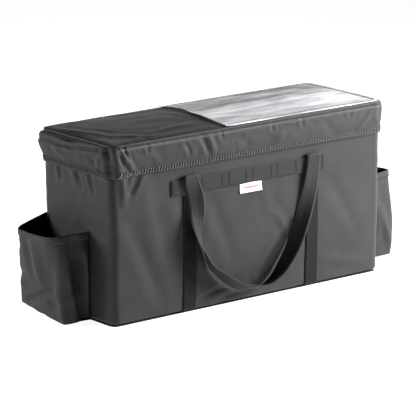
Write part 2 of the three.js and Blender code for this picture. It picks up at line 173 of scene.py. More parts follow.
class Outline:
    """A rounded rectangle followed from the middle of the back, past the left end, along the
    front and past the right end. A run is a distance along it."""

    CORNER_STEPS = 24

    def __init__(self, half_x, half_y, radius):
        corners = [(-1, 1), (-1, -1), (1, -1), (1, 1)]
        points, turns = [(0, half_y)], [90]
        for quarter, (side_x, side_y) in enumerate(corners):
            for turn in np.linspace(90 * (quarter + 1), 90 * (quarter + 2), self.CORNER_STEPS):
                angle = math.radians(turn)
                points.append((side_x * (half_x - radius) + radius * math.cos(angle),
                               side_y * (half_y - radius) + radius * math.sin(angle)))
                turns.append(turn)
        points.append((0, half_y))
        turns.append(450)
        self.points = np.array(points)
        self.turns = np.radians(turns)
        self.runs = distances(self.points)
        self.length = self.runs[-1]

    def at(self, run):
        run = np.mod(run, self.length)
        turn = np.interp(run, self.runs, self.turns)
        return (np.interp(run, self.runs, self.points[:, 0]),
                np.interp(run, self.runs, self.points[:, 1]), np.cos(turn), np.sin(turn))

    def front(self, x):
        return self.length / 2 + x

    def back(self, x):
        return self.length - x

    def left(self, y):
        return self.length / 4 - y

    def right(self, y):
        return 3 * self.length / 4 + y


def creases(place, rows):
    """Folds whose ends are given by x or y on one side of an outline, as folds by run."""
    return [(place(a), from_z, place(b), to_z, width, height)
            for a, from_z, b, to_z, width, height in rows]


BODY = Outline(HALF_X, HALF_Y, CORNER_RADIUS)
LEFT_CORNER = BODY.front(-HALF_X + 6)
RIGHT_CORNER = BODY.front(HALF_X - 6)


def wall_noise(run, z, cell, seed):
    """Noise on the walls that meets itself where the outline closes."""
    x, y, _, _ = BODY.at(run)
    return noise(np.stack(np.broadcast_arrays(x, y, z), -1), cell, seed)


def off_outline(run, z, reach):
    """The point that stands out by reach from the body's outline."""
    x, y, normal_x, normal_y = BODY.at(run)
    return np.stack(np.broadcast_arrays(x + normal_x * reach, y + normal_y * reach, z), -1)


def rounded_plan(u, v, half_x, half_y, radius):
    """Maps a rectangle of (u, v) onto a rounded one of the same size, seen from above."""
    u, v = paired(u, v)
    into = np.clip(np.abs(u) - (half_x - radius), 0, radius)
    limit = half_y - radius + np.sqrt(np.maximum(radius**2 - into**2, 0))
    return u, v * limit / half_y


def plan_columns(half_x, radius, spacing=6.0):
    """Places across a rounded rectangle, close together over its corners."""
    corner = half_x - radius + radius * np.sin(np.linspace(0, math.pi / 2, 9))
    middle = np.linspace(-half_x + radius, half_x - radius, int(2 * half_x / spacing))
    return np.concatenate([-corner[:0:-1], middle, corner[1:]])


def normals_of(surface, u, v, step=0.6):
    across = surface(u + step, v) - surface(u - step, v)
    up = surface(u, v + step) - surface(u, v - step)
    normal = np.cross(across, up)
    return normal / np.maximum(np.linalg.norm(normal, axis=-1, keepdims=True), 1e-9)


def lifted(surface, lift):
    """The surface moved out along its normals."""
    return lambda u, v: surface(u, v) + normals_of(surface, u, v) * lift


def catmull_rom(rows, per_span):
    """A smooth path through rows of numbers, with per_span points for each span."""
    rows = np.asarray(rows, float)
    padded = np.vstack([2 * rows[0] - rows[1], rows, 2 * rows[-1] - rows[-2]])
    share = np.linspace(0, 1, per_span, endpoint=False)[:, None]
    parts = []
    for a, b, c, d in zip(padded, padded[1:], padded[2:], padded[3:]):
        parts.append(0.5 * (2 * b + (c - a) * share + (2 * a - 5 * b + 4 * c - d) * share**2
                            + (3 * b - a - 3 * c + d) * share**3))
    return np.vstack([*parts, rows[-1:]])


class GridSurface:
    """A surface through a grid of points, u along its columns and v up its rows."""

    def __init__(self, points, us, vs):
        self.points, self.us, self.vs = points, np.asarray(us), np.asarray(vs)

    def __call__(self, u, v):
        u, v = paired(u, v)
        column = np.interp(u, self.us, np.arange(len(self.us)))
        row = np.interp(v, self.vs, np.arange(len(self.vs)))
        j = np.clip(column.astype(int), 0, len(self.us) - 2)
        i = np.clip(row.astype(int), 0, len(self.vs) - 2)
        over_u = (u - self.us[j]) / (self.us[j + 1] - self.us[j])
        over_v = (v - self.vs[i]) / (self.vs[i + 1] - self.vs[i])
        b, a = over_u[..., None], over_v[..., None]
        grid = self.points
        return ((1 - a) * ((1 - b) * grid[i, j] + b * grid[i, j + 1])
                + a * ((1 - b) * grid[i + 1, j] + b * grid[i + 1, j + 1]))


# ---- meshes ----

def add_mesh(name, points, faces, cloth=None):
    """A smooth mesh. cloth gives each point its place on the flat cloth, for the weave."""
    mesh = bpy.data.meshes.new(name)
    mesh.from_pydata((points * MM).tolist(), [], faces)
    if cloth is not None:
        corner_points = np.zeros(len(mesh.loops), np.int32)
        mesh.loops.foreach_get("vertex_index", corner_points)
        layer = mesh.uv_layers.new(name="cloth")
        layer.data.foreach_set("uv", (cloth[corner_points] * MM).ravel())
    mesh.polygons.foreach_set("use_smooth", [True] * len(mesh.polygons))
    made = bpy.data.objects.new(name, mesh)
    bpy.context.scene.collection.objects.link(made)
    return made


def grid_faces(rows, columns, start=0):
    """The quads between the points of a grid, numbered row by row from start."""
    index = start + np.arange(rows * columns).reshape(rows, columns)
    return np.stack([index[:-1, :-1], index[:-1, 1:], index[1:, 1:], index[1:, :-1]],
                    -1).reshape(-1, 4)


def add_grid(name, rows, us, middle, flip=False):
    """A skin over rows of points. On the flat cloth, us are the places along each row, and the
    rows are as far apart as they are at column number middle."""
    points = np.array(rows)
    cloth = np.stack(np.meshgrid(us, distances(points[:, middle])), -1)
    faces = grid_faces(*points.shape[:2])
    return add_mesh(name, points.reshape(-1, 3), (faces[:, ::-1] if flip else faces).tolist(),
                    cloth.reshape(-1, 2))


def add_slab(name, surface, us, vs, thickness, lift=0.0, edge=2.0):
    """A sheet of the given thickness standing lift off a surface, with rounded edges."""
    u, v = np.meshgrid(us, vs)
    base = surface(u, v)
    normal = normals_of(surface, u, v)
    inset = np.minimum(np.minimum(u - us[0], us[-1] - u), np.minimum(v - vs[0], vs[-1] - v))
    share = 0.35 + 0.65 * np.sqrt(np.clip(inset / edge, 0, 1))
    inner = base + normal * lift
    outer = inner + normal * (thickness * share)[..., None]
    rows, columns = u.shape
    count = rows * columns
    index = np.arange(count).reshape(rows, columns)
    border = np.concatenate([index[0], index[1:, -1], index[-1, -2::-1], index[-2:0:-1, 0]])
    following = np.roll(border, -1)
    sides = np.stack([border + count, following + count, following, border], -1)
    faces = np.vstack([grid_faces(rows, columns), grid_faces(rows, columns, count)[:, ::-1],
                       sides])
    cloth = np.stack([u, v], -1).reshape(-1, 2)
    return add_mesh(name, np.vstack([outer.reshape(-1, 3), inner.reshape(-1, 3)]),
                    faces.tolist(), np.vstack([cloth, cloth]))


def add_binding(name, surface, us, edge, section):
    """A tape folded over an edge. Each row of section is (rise from the edge, lift off the
    surface), in the order that turns the faces of the tape outwards."""
    rows = []
    for rise, lift in section:
        rows.append(lifted(surface, lift)(us, np.full(len(us), edge + rise)))
    return add_grid(name, rows, us, len(us) // 2)


def thread_parts(starts, ends, normals, width):
    """Points and faces of many small stitches, each a spindle from a start to an end."""
    starts, ends, normals = (np.asarray(a, float).reshape(-1, 3) for a in (starts, ends, normals))
    along = ends - starts
    side = np.cross(normals, along)
    side *= (width / 2) / np.maximum(np.linalg.norm(side, axis=-1, keepdims=True), 1e-9)
    up = normals * width * 0.45
    points = [starts]
    for share in (0.22, 0.78):
        middle = starts + along * share + up
        points += [middle + side, middle + up, middle - side, middle - up * 1.6]
    points.append(ends)
    count = len(starts)
    faces = []
    for k in range(4):
        following = (k + 1) % 4
        faces.append([0, 1 + following, 1 + k, 1 + k])
        faces.append([1 + k, 1 + following, 5 + following, 5 + k])
        faces.append([5 + k, 5 + following, 9, 9])
    quads = []
    for shape in faces:
        quads.append(np.stack([np.arange(count) + part * count for part in shape], -1))
    return np.concatenate(points), np.concatenate(quads)


class Threads:
    """Collects the stitches of one group and makes one mesh of them."""
    LIFT = 0.1

    def __init__(self):
        self.points, self.faces, self.count = [], [], 0

    def add(self, starts, ends, normals, width=0.9):
        points, faces = thread_parts(starts, ends, normals, width)
        self.points.append(points)
        self.faces.append(faces + self.count)
        self.count += len(points)

    def row(self, surface, us, vs, pitch, filled=0.68, width=0.9):
        """A straight row of stitches along a line of (u, v) places on a surface."""
        us, vs = paired(us, vs)
        length = distances(surface(us, vs))
        begin = np.arange(pitch / 2, length[-1] - pitch * filled, pitch)
        ends = []
        for place in (begin, begin + pitch * filled):
            u, v = np.interp(place, length, us), np.interp(place, length, vs)
            normal = normals_of(surface, u, v)
            ends.append(surface(u, v) + normal * self.LIFT)
        self.add(ends[0], ends[1], normal, width)

    def zigzag(self, surface, us, low, high, pitch, width=0.9):
        """A zigzag row between two heights."""
        count = int((us[-1] - us[0]) / pitch) * 2
        u = np.linspace(us[0], us[-1], count + 1)
        v = low + (high - low) * (np.arange(count + 1) % 2)
        normal = normals_of(surface, u, v)
        place = surface(u, v) + normal * self.LIFT
        self.add(place[:-1], place[1:], normal[:-1], width)

    def slanted(self, surface, us, low, high, pitch, width=2.2):
        """Bent slanting stitches side by side, like the teeth of a comb, between two lines."""
        foot = np.arange(us[0], us[-1] - pitch, pitch)
        middle = (low + high) / 2
        for (start_u, start_v), (end_u, end_v) in (((0, low), (0.42, middle)),
                                                   ((0.42, middle), (0.34, high))):
            ends = [(foot + start_u * pitch, start_v), (foot + end_u * pitch, end_v)]
            normals = [normals_of(surface, u, v + 0 * u) for u, v in ends]
            places = [surface(u, v) + n * 0.15 for (u, v), n in zip(ends, normals)]
            self.add(places[0], places[1], normals[0], width)

    def finish(self, name, body, slot="nylon_fabric", look="thread"):
        finish_piece(self.make(name), body, slot, look=look)

    def make(self, name):
        quads = np.concatenate(self.faces).tolist()
        # the faces at a stitch's two ends name their point twice, because they are triangles
        return add_mesh(name, np.concatenate(self.points),
                        [tuple(dict.fromkeys(face)) for face in quads])


# ---- materials ----

class Nodes:
    """A tree of shader nodes. Their inputs are given by name or number, as values or sockets."""

    def __init__(self, tree):
        self.tree = tree

    def set(self, node, inputs):
        for key, value in inputs.items():
            if isinstance(value, bpy.types.NodeSocket):
                self.tree.links.new(value, node.inputs[key])
            else:
                node.inputs[key].default_value = value

    def node(self, kind, inputs, **settings):
        made = self.tree.nodes.new("ShaderNode" + kind)
        for key, value in settings.items():
            setattr(made, key, value)
        self.set(made, inputs)
        return made

    def math(self, operation, *values):
        return self.node("Math", dict(enumerate(values)), operation=operation).outputs[0]

    def times(self, *values):
        return self.math("MULTIPLY", *values)

    def plus(self, *values):
        return self.math("ADD", *values)

    def ripple(self, value, pitch):
        return self.math("SINE", self.times(value, 2 * math.pi / pitch))

    def cloud(self, vector, scale, detail=3.0, rough=0.55):
        return self.node("TexNoise", {"Vector": vector, "Scale": scale, "Detail": detail,
                                      "Roughness": rough}).outputs["Fac"]

    def ramp(self, value, low, high, to_low, to_high, **settings):
        inputs = {0: value, 1: low, 2: high, 3: to_low, 4: to_high}
        return self.node("MapRange", inputs, **settings).outputs[0]

    def vary(self, grain, to_low, to_high):
        """A cloud, which keeps near 0.3 to 0.7, spread over another range."""
        return self.ramp(grain, 0.3, 0.7, to_low, to_high)


class Look(Nodes):
    """A node material."""

    def __init__(self, name, colour, roughness, **sockets):
        self.material = bpy.data.materials.new(name)
        self.material.use_nodes = True
        super().__init__(self.material.node_tree)
        self.shader = self.tree.nodes["Principled BSDF"]
        self.set(self.shader, {"Base Color": (*colour, 1), "Roughness": roughness})
        self.set(self.shader, {key.replace("_", " "): value for key, value in sockets.items()})

    def place(self):
        """The place on the flat cloth, in metres, whole and as separate sockets."""
        cloth = self.node("UVMap", {}, uv_map="cloth").outputs[0]
        parts = self.node("SeparateXYZ", {0: cloth})
        return cloth, parts.outputs[0], parts.outputs[1]

    def worn(self, full, amount):
        """Extra brightness where the cloth is bent sharply outwards."""
        edges = self.node("NewGeometry", {}).outputs["Pointiness"]
        return self.ramp(edges, 0.5, full, 0.0, amount)

    def tint(self, colour, brightness):
        """A colour, or a socket of one, times a grey socket, for the base colour."""
        base = colour if isinstance(colour, bpy.types.NodeSocket) else (*colour, 1)
        scaled = self.node("Mix", {0: 1.0, 6: base, 7: brightness}, data_type="RGBA",
                           blend_type="MULTIPLY")
        self.set(self.shader, {"Base Color": scaled.outputs[2]})

    def bump(self, height, strength, distance, **below):
        return self.node("Bump", {"Height": height, "Strength": strength, "Distance": distance,
                                  **below}).outputs[0]

    def relief(self, *heights, **below):
        self.set(self.shader, {"Normal": self.bump(*heights, **below)})


WEAVE = 0.0013  # metres from thread to thread


def nylon(name, colour, roughness=0.55, shine=0.06):
    """Plain-weave coated nylon, with uneven dye, a soft sheen and paler worn edges."""
    look = Look(name, colour, roughness, Sheen_Weight=0.05, Sheen_Roughness=0.35,
                Specular_IOR_Level=shine)
    cloth, u, v = look.place()
    threads = look.times(look.ripple(u, WEAVE), look.ripple(v, WEAVE))
    slubs = look.cloud(cloth, 420, 2)
    patches = look.cloud(cloth, 9, 4)
    height = look.plus(threads, look.times(slubs, 1.4))
    soft = look.bump(patches, 0.35, 0.004)
    look.relief(height, 0.35, 0.00016, Normal=soft)
    shade = look.plus(look.vary(patches, 0.88, 1.12), look.worn(0.58, 0.35))
    shade = look.times(shade, look.vary(slubs, 0.74, 1.26))
    shade = look.times(shade, look.ramp(threads, -1.0, 1.0, 0.93, 1.07))
    look.tint(colour, shade)
    look.set(look.shader, {
        "Roughness": look.vary(patches, roughness - 0.06, roughness + 0.08)})
    return look.material


def webbing(name, colour):
    """Herringbone webbing: slanted ribs that change direction every few millimetres."""
    look = Look(name, colour, 0.6, Sheen_Weight=0.04, Sheen_Roughness=0.4,
                Specular_IOR_Level=0.05)
    cloth, u, v = look.place()
    slant = look.math("PINGPONG", v, 0.0047)
    ribs = look.ripple(look.plus(u, slant), 0.0024)
    fine = look.ripple(v, 0.0009)
    height = look.plus(ribs, look.times(fine, 0.4))
    fuzz = look.cloud(cloth, 700, 2)
    height = look.plus(height, look.times(fuzz, 0.8))
    look.relief(height, 0.5, 0.0003)
    shade = look.times(look.ramp(ribs, -1.0, 1.0, 0.75, 1.2), look.vary(fuzz, 0.85, 1.15))
    look.tint(colour, look.plus(shade, look.worn(0.6, 0.6)))
    return look.material


def grainy(name, colour, roughness, scale, depth, contrast=0.12, **sockets):
    """Foam, board, brushed tape and thread: one grain at the given scale, in object space."""
    look = Look(name, colour, roughness, **sockets)
    place = look.node("TexCoord", {}).outputs["Object"]
    grain = look.cloud(place, scale, 4, 0.7)
    pits = look.node("TexVoronoi", {"Vector": place, "Scale": scale * 1.7}).outputs["Distance"]
    height = look.plus(grain, look.times(pits, 0.7))
    look.relief(height, 0.6, depth)
    broad = look.cloud(place, 14, 3)
    look.tint(colour, look.times(look.vary(grain, 1 - contrast, 1 + contrast),
                                 look.vary(broad, 0.94, 1.06)))
    return look.material


def wiped_lining(name, colour):
    """Smooth coated lining with a fine crushed grain."""
    look = Look(name, colour, 0.5, Specular_IOR_Level=0.25)
    cloth, u, v = look.place()
    crush = look.cloud(cloth, 55, 5, 0.6)
    weave = look.times(look.ripple(u, 0.0022), look.ripple(v, 0.0022))
    height = look.plus(crush, look.times(weave, 0.1))
    look.relief(height, 0.45, 0.0012)
    look.tint(colour, look.vary(crush, 0.85, 1.15))
    look.set(look.shader, {"Roughness": look.vary(crush, 0.45, 0.62)})
    return look.material


def clear_vinyl(name, colour, alpha):
    """Milky flexible vinyl: glossy, with long soft ripples, and not quite clear. Its clarity and
    colour vary with the ripples: uneven milkiness, and also painted streaks of reflection.
    """
    look = Look(name, colour, 0.16, Specular_IOR_Level=0.5, Coat_Weight=0.3,
                Coat_Roughness=0.1, IOR=1.5)
    cloth, _, _ = look.place()
    drawn = look.node("VectorMath", {0: cloth, 1: (0.25, 1.0, 1.0)},
                      operation="MULTIPLY").outputs[0]
    haze_and_glare_streaks = look.cloud(drawn, 15, 3, 0.5)
    scuffs = look.cloud(cloth, 160, 3, 0.7)
    look.relief(haze_and_glare_streaks, 0.9, 0.012)
    # uneven haze in the clarity, and painted streaks of reflection in the colour, along the same
    # ripples
    look.set(look.shader, {
        "Alpha": look.ramp(haze_and_glare_streaks, 0.38, 0.6, alpha - 0.26, alpha + 0.16),
        "Roughness": look.ramp(scuffs, 0.35, 0.7, 0.14, 0.3)})
    look.tint(colour, look.ramp(haze_and_glare_streaks, 0.38, 0.6, 0.8, 1.16))
    return look.material


STRIPE_REACH = (0.021, 0.0022)  # metres from the stripe's centre to its end and to its edge
STRIPE_COLOUR = (0.42, 0.07, 0.07, 1)


def woven_label(name, colour):
    """A plain satin label with one straight coloured stripe, a little below its middle."""
    look = Look(name, colour, 0.5, Sheen_Weight=0.2)
    _, u, v = look.place()
    threads = look.ripple(v, 0.0007)
    look.relief(threads, 0.4, 0.0001)
    middle = (LABEL_LOW + LABEL_HIGH) / 2 * MM
    off_centre = [look.math("ABSOLUTE", look.math("SUBTRACT", place, float(centre)))
                  for place, centre in ((u, middle[0]), (v, middle[2] + 0.001))]
    stripe = look.times(*[look.math("LESS_THAN", off, reach)
                          for off, reach in zip(off_centre, STRIPE_REACH)])
    mixed = look.node("Mix", {0: stripe, 6: (*colour, 1), 7: STRIPE_COLOUR}, data_type="RGBA")
    look.tint(mixed.outputs[2], look.ramp(threads, -1.0, 1.0, 0.9, 1.0))
    return look.material


LOOKS = {
    "nylon_fabric": nylon("nylon", (0.031, 0.031, 0.032)),
    "nylon_top": nylon("nylon_top", (0.030, 0.030, 0.031), 0.45, shine=0.16),
    "webbing": webbing("webbing", (0.009, 0.009, 0.010)),
    # the band's paler webbing; the handles, which are the straps' webbing, take it too, so on them
    # the paler colour is painted light
    "band": webbing("band_webbing_and_lit_handles", (0.025, 0.025, 0.026)),
    "lining": wiped_lining("lining", (0.024, 0.025, 0.028)),
    "foam": grainy("foam", (0.75, 0.75, 0.72), 0.85, 260, 0.0008),
    "stiffener": grainy("board", (0.02, 0.02, 0.022), 0.5, 90, 0.0004),
    "hook_and_loop": grainy("brushed_tape", (0.010, 0.010, 0.011), 0.95, 900, 0.0009, 0.4,
                            Specular_IOR_Level=0.1),
    "clear_vinyl": clear_vinyl("vinyl", (0.70, 0.71, 0.73), 0.76),
    "label": woven_label("label", (0.8, 0.79, 0.77)),
    "thread": grainy("thread", (0.010, 0.010, 0.011), 0.6, 1500, 0.0002, 0.25),
    "pale_thread": grainy("pale_thread", (0.135, 0.135, 0.14), 0.55, 1500, 0.0002, 0.25),
}


def finish_piece(made, body, slot, *nodes, look=None):
    """Gives a piece its material, by its look or else by its slot, hides the CAD nodes it stands
    for and rides it.
    """
    made.data.materials.append(LOOKS[look or slot])
    if nodes:
        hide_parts(*nodes)
    if body:
        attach(made, body)
    return made


# ---- body ----

WALL_FOLDS = creases(BODY.left, [
    # darts under the side skirt
    (68, 350, 56, 300, 5.5, -4.2), (14, 350, -18, 294, 6.5, -4.8), (-36, 350, -62, 290, 6, -4.6),
    (88, 350, 84, 290, 8, -1.4), (12, 340, 8, 290, 8, 1.2),
]) + creases(BODY.front, [
    # pull lines at the near corner, under the skirt
    (-356, 345, -352, 272, 8, 3.0), (-300, 352, -332, 292, 7, -4.2),
    (-338, 220, -250, 36, 16, -1.8), (-300, 300, -262, 150, 18, 1.4),
    # drag lines of the front wall
    (110, 156, 22, 54, 8, -3.2), (70, 186, 122, 116, 10, 1.8), (-160, 16, -88, 44, 6, -2.6),
    (-124, 8, -48, 44, 7, 2.6), (-86, 6, -26, 32, 6, -2.2), (210, 60, 330, 30, 12, 1.6),
    (226, 240, 310, 120, 16, -1.4), (-240, 250, -140, 110, 18, 1.4),
    (-110, 240, -60, 120, 16, -1.4),
]) + stray_folds(30, (80, BODY.length - 80), (30, 270), 110, 12, 0.9, seed=4)


def wall_bulge(run, z):
    """How far the fabric stands out from the flat wall of the frame."""
    x, y, normal_x, normal_y = BODY.at(run)
    long_side = np.abs(normal_y) * (1 - np.abs(x / HALF_X) ** 4)
    short_side = np.abs(normal_x) * (1 - np.abs(y / HALF_Y) ** 4)
    # each wall stands out in its middle and low down
    belly = (3.2 * long_side + 2.6 * short_side) * (
        1 - smooth_step(170, 300, z)) * (0.35 + 0.65 * smooth_step(5, 120, z))
    # the left end and the near corner are puffed under the skirt, the right end from low down
    hang = 1 - smooth_step(322, 331, z)
    puffed = 3.2 * np.clip(-normal_x, 0, 1) + 1.3 * bump(run, BODY.front(-325), 45)
    full = puffed * smooth_step(190, 290, z) + 3.0 * np.clip(normal_x, 0, 1) * (
        smooth_step(20, 160, z))
    loose = 1 - smooth_step(300, 328, z)
    rough = 0.8 * wall_noise(run, z, 85, 1) + 0.4 * wall_noise(run, z, 30, 2)
    drag = folded(run, z, WALL_FOLDS) * (0.4 + 0.6 * smooth_step(0, 30, z))
    seam = 0.6 * bump(z, SHELL_BOTTOM + 4, 5) * wall_noise(run, z, 18, 3)
    return np.maximum(belly + rough * loose + (full + drag) * hang + seam, -1.6)


def wall(run, z):
    return off_outline(run, z, wall_bulge(run, z))


EDGE_ROLL = 7  # radius of the shell's lower edge
UNDER_EDGE = 26  # how far the shell goes in under the box


def add_body():
    runs = np.linspace(0, BODY.length, 560)
    heights = np.arange(SHELL_BOTTOM + EDGE_ROLL, BODY_TOP + 1, 3.4)
    heights[-1] = BODY_TOP
    # the lower edge turns under the box and the top edge turns in over the foam
    rows = [off_outline(runs, SHELL_BOTTOM, -UNDER_EDGE)]
    for turn in np.radians([0, 12, 30, 50, 70]):
        reach = wall_bulge(runs, heights[0]) - EDGE_ROLL * (1 - math.sin(turn))
        rows.append(off_outline(runs, heights[0] - EDGE_ROLL * math.cos(turn), reach))
    rows.extend(wall(*np.meshgrid(runs, heights)))
    rows.append(off_outline(runs, BODY_TOP + 0.2, -1.8))
    shell = add_grid("body_shell", rows, runs, 10)
    finish_piece(shell, "carrier", "nylon_fabric", "outer_shell")
    low, high = box_mm("base_cover")

    def under_side(u, v):
        x, y = rounded_plan(-u, v, high[0], high[1], CORNER_RADIUS - 2)
        inset = np.minimum(high[0] - np.abs(x), high[1] - np.abs(y))
        dimple = 0.5 * smooth_step(6, 30, inset) * (1 + noise2(x, y, 60, 5)) / 2
        return np.stack([x, y, high[2] - 0.1 + dimple - 0.4 * bump(inset, 5, 3)], -1)

    base = add_slab("base_panel", under_side, plan_columns(high[0], CORNER_RADIUS - 2),
                    np.linspace(-high[1], high[1], 50), high[2] - low[2] - 0.6, edge=5)
    finish_piece(base, "carrier", "nylon_fabric", "base_cover")


def add_rim():
    """The binding round the mouth, over the edge of the wall from its outer to its inner side."""
    runs = np.linspace(0, BODY.length, 520)
    profile = [(0.5, -14), (0.9, -8), (1.0, -3), (0.8, 0), (-0.6, 1.7), (-4, 2.3), (-8, 2.4),
               (-12, 2.2), (-14.3, 1.4), (-15.0, -1), (-15.2, -6), (-14.8, -13)]
    rows = []
    for out, rise in profile:
        waver = 0.22 * wall_noise(runs, out * 3, 14, 8)
        rows.append(off_outline(runs, BODY_TOP + rise + waver, out + waver * 0.6))
    finish_piece(add_grid("rim_tape", rows, runs, 9), "carrier", "webbing", "rim_binding")


def add_lining():
    """The lining: floor and walls in one sheet, creased where it turns up."""
    reach = HALF_X - LINER_HIGH[0]
    floor = LINER_LOW[2] + 1.4
    runs = np.linspace(0, BODY.length, 300)
    folds = stray_folds(50, (80, BODY.length - 80), (40, 340), 120, 9, 1.5, seed=9)
    rows = []
    for share in (0.02, 0.3, 0.5, 0.65, 0.78, 0.88, 0.95):
        edge = off_outline(runs, floor, -reach - 1.4)
        row = edge * [share, share, 1]
        row[:, 2] += 1.2 + 1.2 * noise(row[:, :2], 55, 10) * (1 - share)
        rows.append(row)
    rows.append(off_outline(runs, floor + 1.0, -reach - 4))
    for z in np.concatenate([[floor + 4], np.linspace(floor + 10, BODY_TOP - 1, 56)]):
        loose = smooth_step(floor, floor + 40, z) * (1 - smooth_step(BODY_TOP - 30, BODY_TOP, z))
        inward = 1.6 + loose * (2.2 + 1.6 * wall_noise(runs, z, 60, 11)
                                + folded(runs, z, folds))
        rows.append(off_outline(runs, z, -reach - inward))
    lining = add_grid("lining", rows, runs, 40, flip=True)
    thick = lining.modifiers.new("thickness", "SOLIDIFY")
    thick.thickness, thick.offset = 0.8 * MM, -1
    finish_piece(lining, "carrier", "lining", "inner_liner")


# ---- straps, bands and label ----

STRAP_ABOVE_BAND = 7  # the strap comes out above the band, where the handle begins


def strap_path(x0):
    """Surface along one strap, from the front band under the box to the back band. u is the
    distance down the front and v the place across the strap."""
    top, low = STRAP_HIGH[2] + STRAP_ABOVE_BAND, STRAP_LOW[2] + 2
    turn = 4.0
    down = top - low - turn
    face = HALF_Y + 0.3
    flat = 2 * face - 2 * turn
    arc = turn * math.pi / 2
    marks = np.cumsum([down, arc, flat, arc, down])

    def surface(u, v):
        u, v = paired(u, v)
        x = x0 + v
        z = np.where(u < marks[2], top - u, top - (marks[4] - u))
        front = wall_bulge(BODY.front(x), np.maximum(z, low))
        back = wall_bulge(BODY.back(x), np.maximum(z, low))
        first = (u - marks[0]) / turn
        second = (u - marks[2]) / turn
        parts = [u <= mark for mark in marks[:4]]
        y = np.select(parts, [
            -face - front, -face + turn - turn * np.cos(first) - front * (1 - first / 1.6),
            -face + turn + (u - marks[1]),
            face - turn + turn * np.sin(second) + back * second / 1.6], face + back)
        level = np.select(parts, [z, low + turn - turn * np.sin(first), low + 0 * u,
                                  low + turn - turn * np.cos(second)], z)
        return np.stack([x, y, level], -1)
    return surface, marks[4]


def band_lift(x):
    """A band lies on the wall and rises over the two straps."""
    over = sum(smooth_step(-STRAP_WIDTH / 2 - 4, -STRAP_WIDTH / 2 + 1, x - side * STRAP_X)
               * (1 - smooth_step(STRAP_WIDTH / 2 - 1, STRAP_WIDTH / 2 + 4, x - side * STRAP_X))
               for side in (-1, 1))
    return 0.7 + 2.0 * over


def band_surface(x_of_run):
    def surface(u, v):
        u, v = paired(u, v)
        x = x_of_run(u)
        slack = 0.35 * noise2(x, v, 26, 21)
        return off_outline(u, v, wall_bulge(u, v) * 0.8 + band_lift(x) + slack)
    return surface


# where the front band is sewn down through its height
BAND_STITCHES = [-139, -84, -64, -16, 4, 56, 74, 128]


def add_straps():
    threads = Threads()
    for name, side in (("strap_left", -1), ("strap_right", 1)):
        surface, length = strap_path(side * STRAP_X)
        us = np.arange(0, length, 4.0)
        vs = np.linspace(-STRAP_WIDTH / 2, STRAP_WIDTH / 2, 11)
        finish_piece(add_slab(name + "_webbing", surface, us, vs, 1.7, 0.1, edge=2.5),
                     "carrier", "webbing", name)
        top = lifted(surface, 1.8)
        for inset in (-STRAP_WIDTH / 2 + 4, STRAP_WIDTH / 2 - 4):
            threads.row(top, np.arange(40, length - 40, 4.0), inset, 4.2)
    faces = (("front_band", lambda u: u - BODY.length / 2, BODY.front),
             ("back_band", lambda u: BODY.length - u, lambda x: BODY.back(-x)))
    low, high = BAND_LOW[2], BAND_HIGH[2]
    for name, x_of_run, run_of_x in faces:
        surface = band_surface(x_of_run)
        us_low, us_high = run_of_x(BAND_LOW[0]), run_of_x(BAND_HIGH[0])
        us = np.arange(us_low, us_high + 1, 3.0)
        vs = np.linspace(low, high, 15)
        finish_piece(add_slab(name + "_webbing", surface, us, vs, 1.9, edge=3), "carrier",
                     "webbing", name, look="band")
        top = lifted(surface, 1.95)
        for z in (low + 3, high - 3):
            threads.row(top, us, z, 3.8)
        for x, shift in itertools.product(BAND_STITCHES, (-1.2, 1.2)):
            run = run_of_x(x + shift if name == "front_band" else -x - shift)
            threads.row(top, run, np.arange(low + 3, high - 2, 1.0), 3.4)
        for end, shift in itertools.product((us_low + 5, us_high - 5), (-1.6, 1.6)):
            threads.row(top, end + shift, np.arange(low + 2, high - 1, 1.0), 2.2, 0.8, width=1.2)
    threads.finish("webbing_stitches", "carrier", "webbing")


def add_label():
    """A blank satin label, sewn under the band along its top edge."""
    bottom, top = LABEL_LOW[2], LABEL_HIGH[2]

    def surface(u, v):
        u, v = paired(u, v)
        curl = 1.6 * (1 - smooth_step(bottom, top - 6, v)) ** 2
        corner = 0.8 * smooth_step(20, 33, u) * (1 - smooth_step(bottom, bottom + 10, v))
        run = BODY.front(u)
        return off_outline(run, v, wall_bulge(run, v) + 0.8 + curl + corner)

    us = np.linspace(LABEL_LOW[0], LABEL_HIGH[0], 34)
    vs = np.linspace(bottom, top + 4, 18)
    label = add_slab("label_blank", surface, us, vs, 0.5, edge=0.8)
    finish_piece(label, "carrier", "label", "label_tag")


# ---- handles ----

# The route of each handle is the frame's: X, stand-off from the wall, Z, and the turn and tilt of
# its width in degrees.
HANDLE_X = 175
ROLL_REACH, ROLL_Z, ROLL_RADIUS = 6.6, 306.8, 3
HANDLE_HANG = [
    (-174.5, 9.7, 298, 1, 0), (-171, 10.2, 284, -8, 0), (-166, 12, 266, -16, 0),
    (-163.5, 13.2, 245, -17, 0), (-163.5, 14.8, 224, -8, 0), (-165, 16.5, 205, 10, 0),
    (-164, 18, 190, 24, 1), (-161.5, 19.5, 172, 38, 2), (-156.5, 20.8, 155, 47, 4),
    (-149, 22, 140, 56, 6), (-133, 24, 105, 70, 14), (-107, 25, 80, 80, 22),
    (-64, 25, 49, 87, 28), (-22, 25, 34, 90, 26), (20, 25, 32, 92, 18), (56, 25, 51, 98, 10),
    (80, 25, 77, 106, 5), (100, 24, 103, 113, 2), (118, 21, 133, 122, 0),
    (134, 17, 164, 133, 0), (146, 14, 192, 146, 0), (158, 12, 222, 163, 0),
    (167, 10.4, 256, 176, 0), (173, 9.8, 284, 178, 0), (174.5, 9.7, 298, 179, 0),
]
HANDLE_WIDTH, HANDLE_THICKNESS = 38, 3


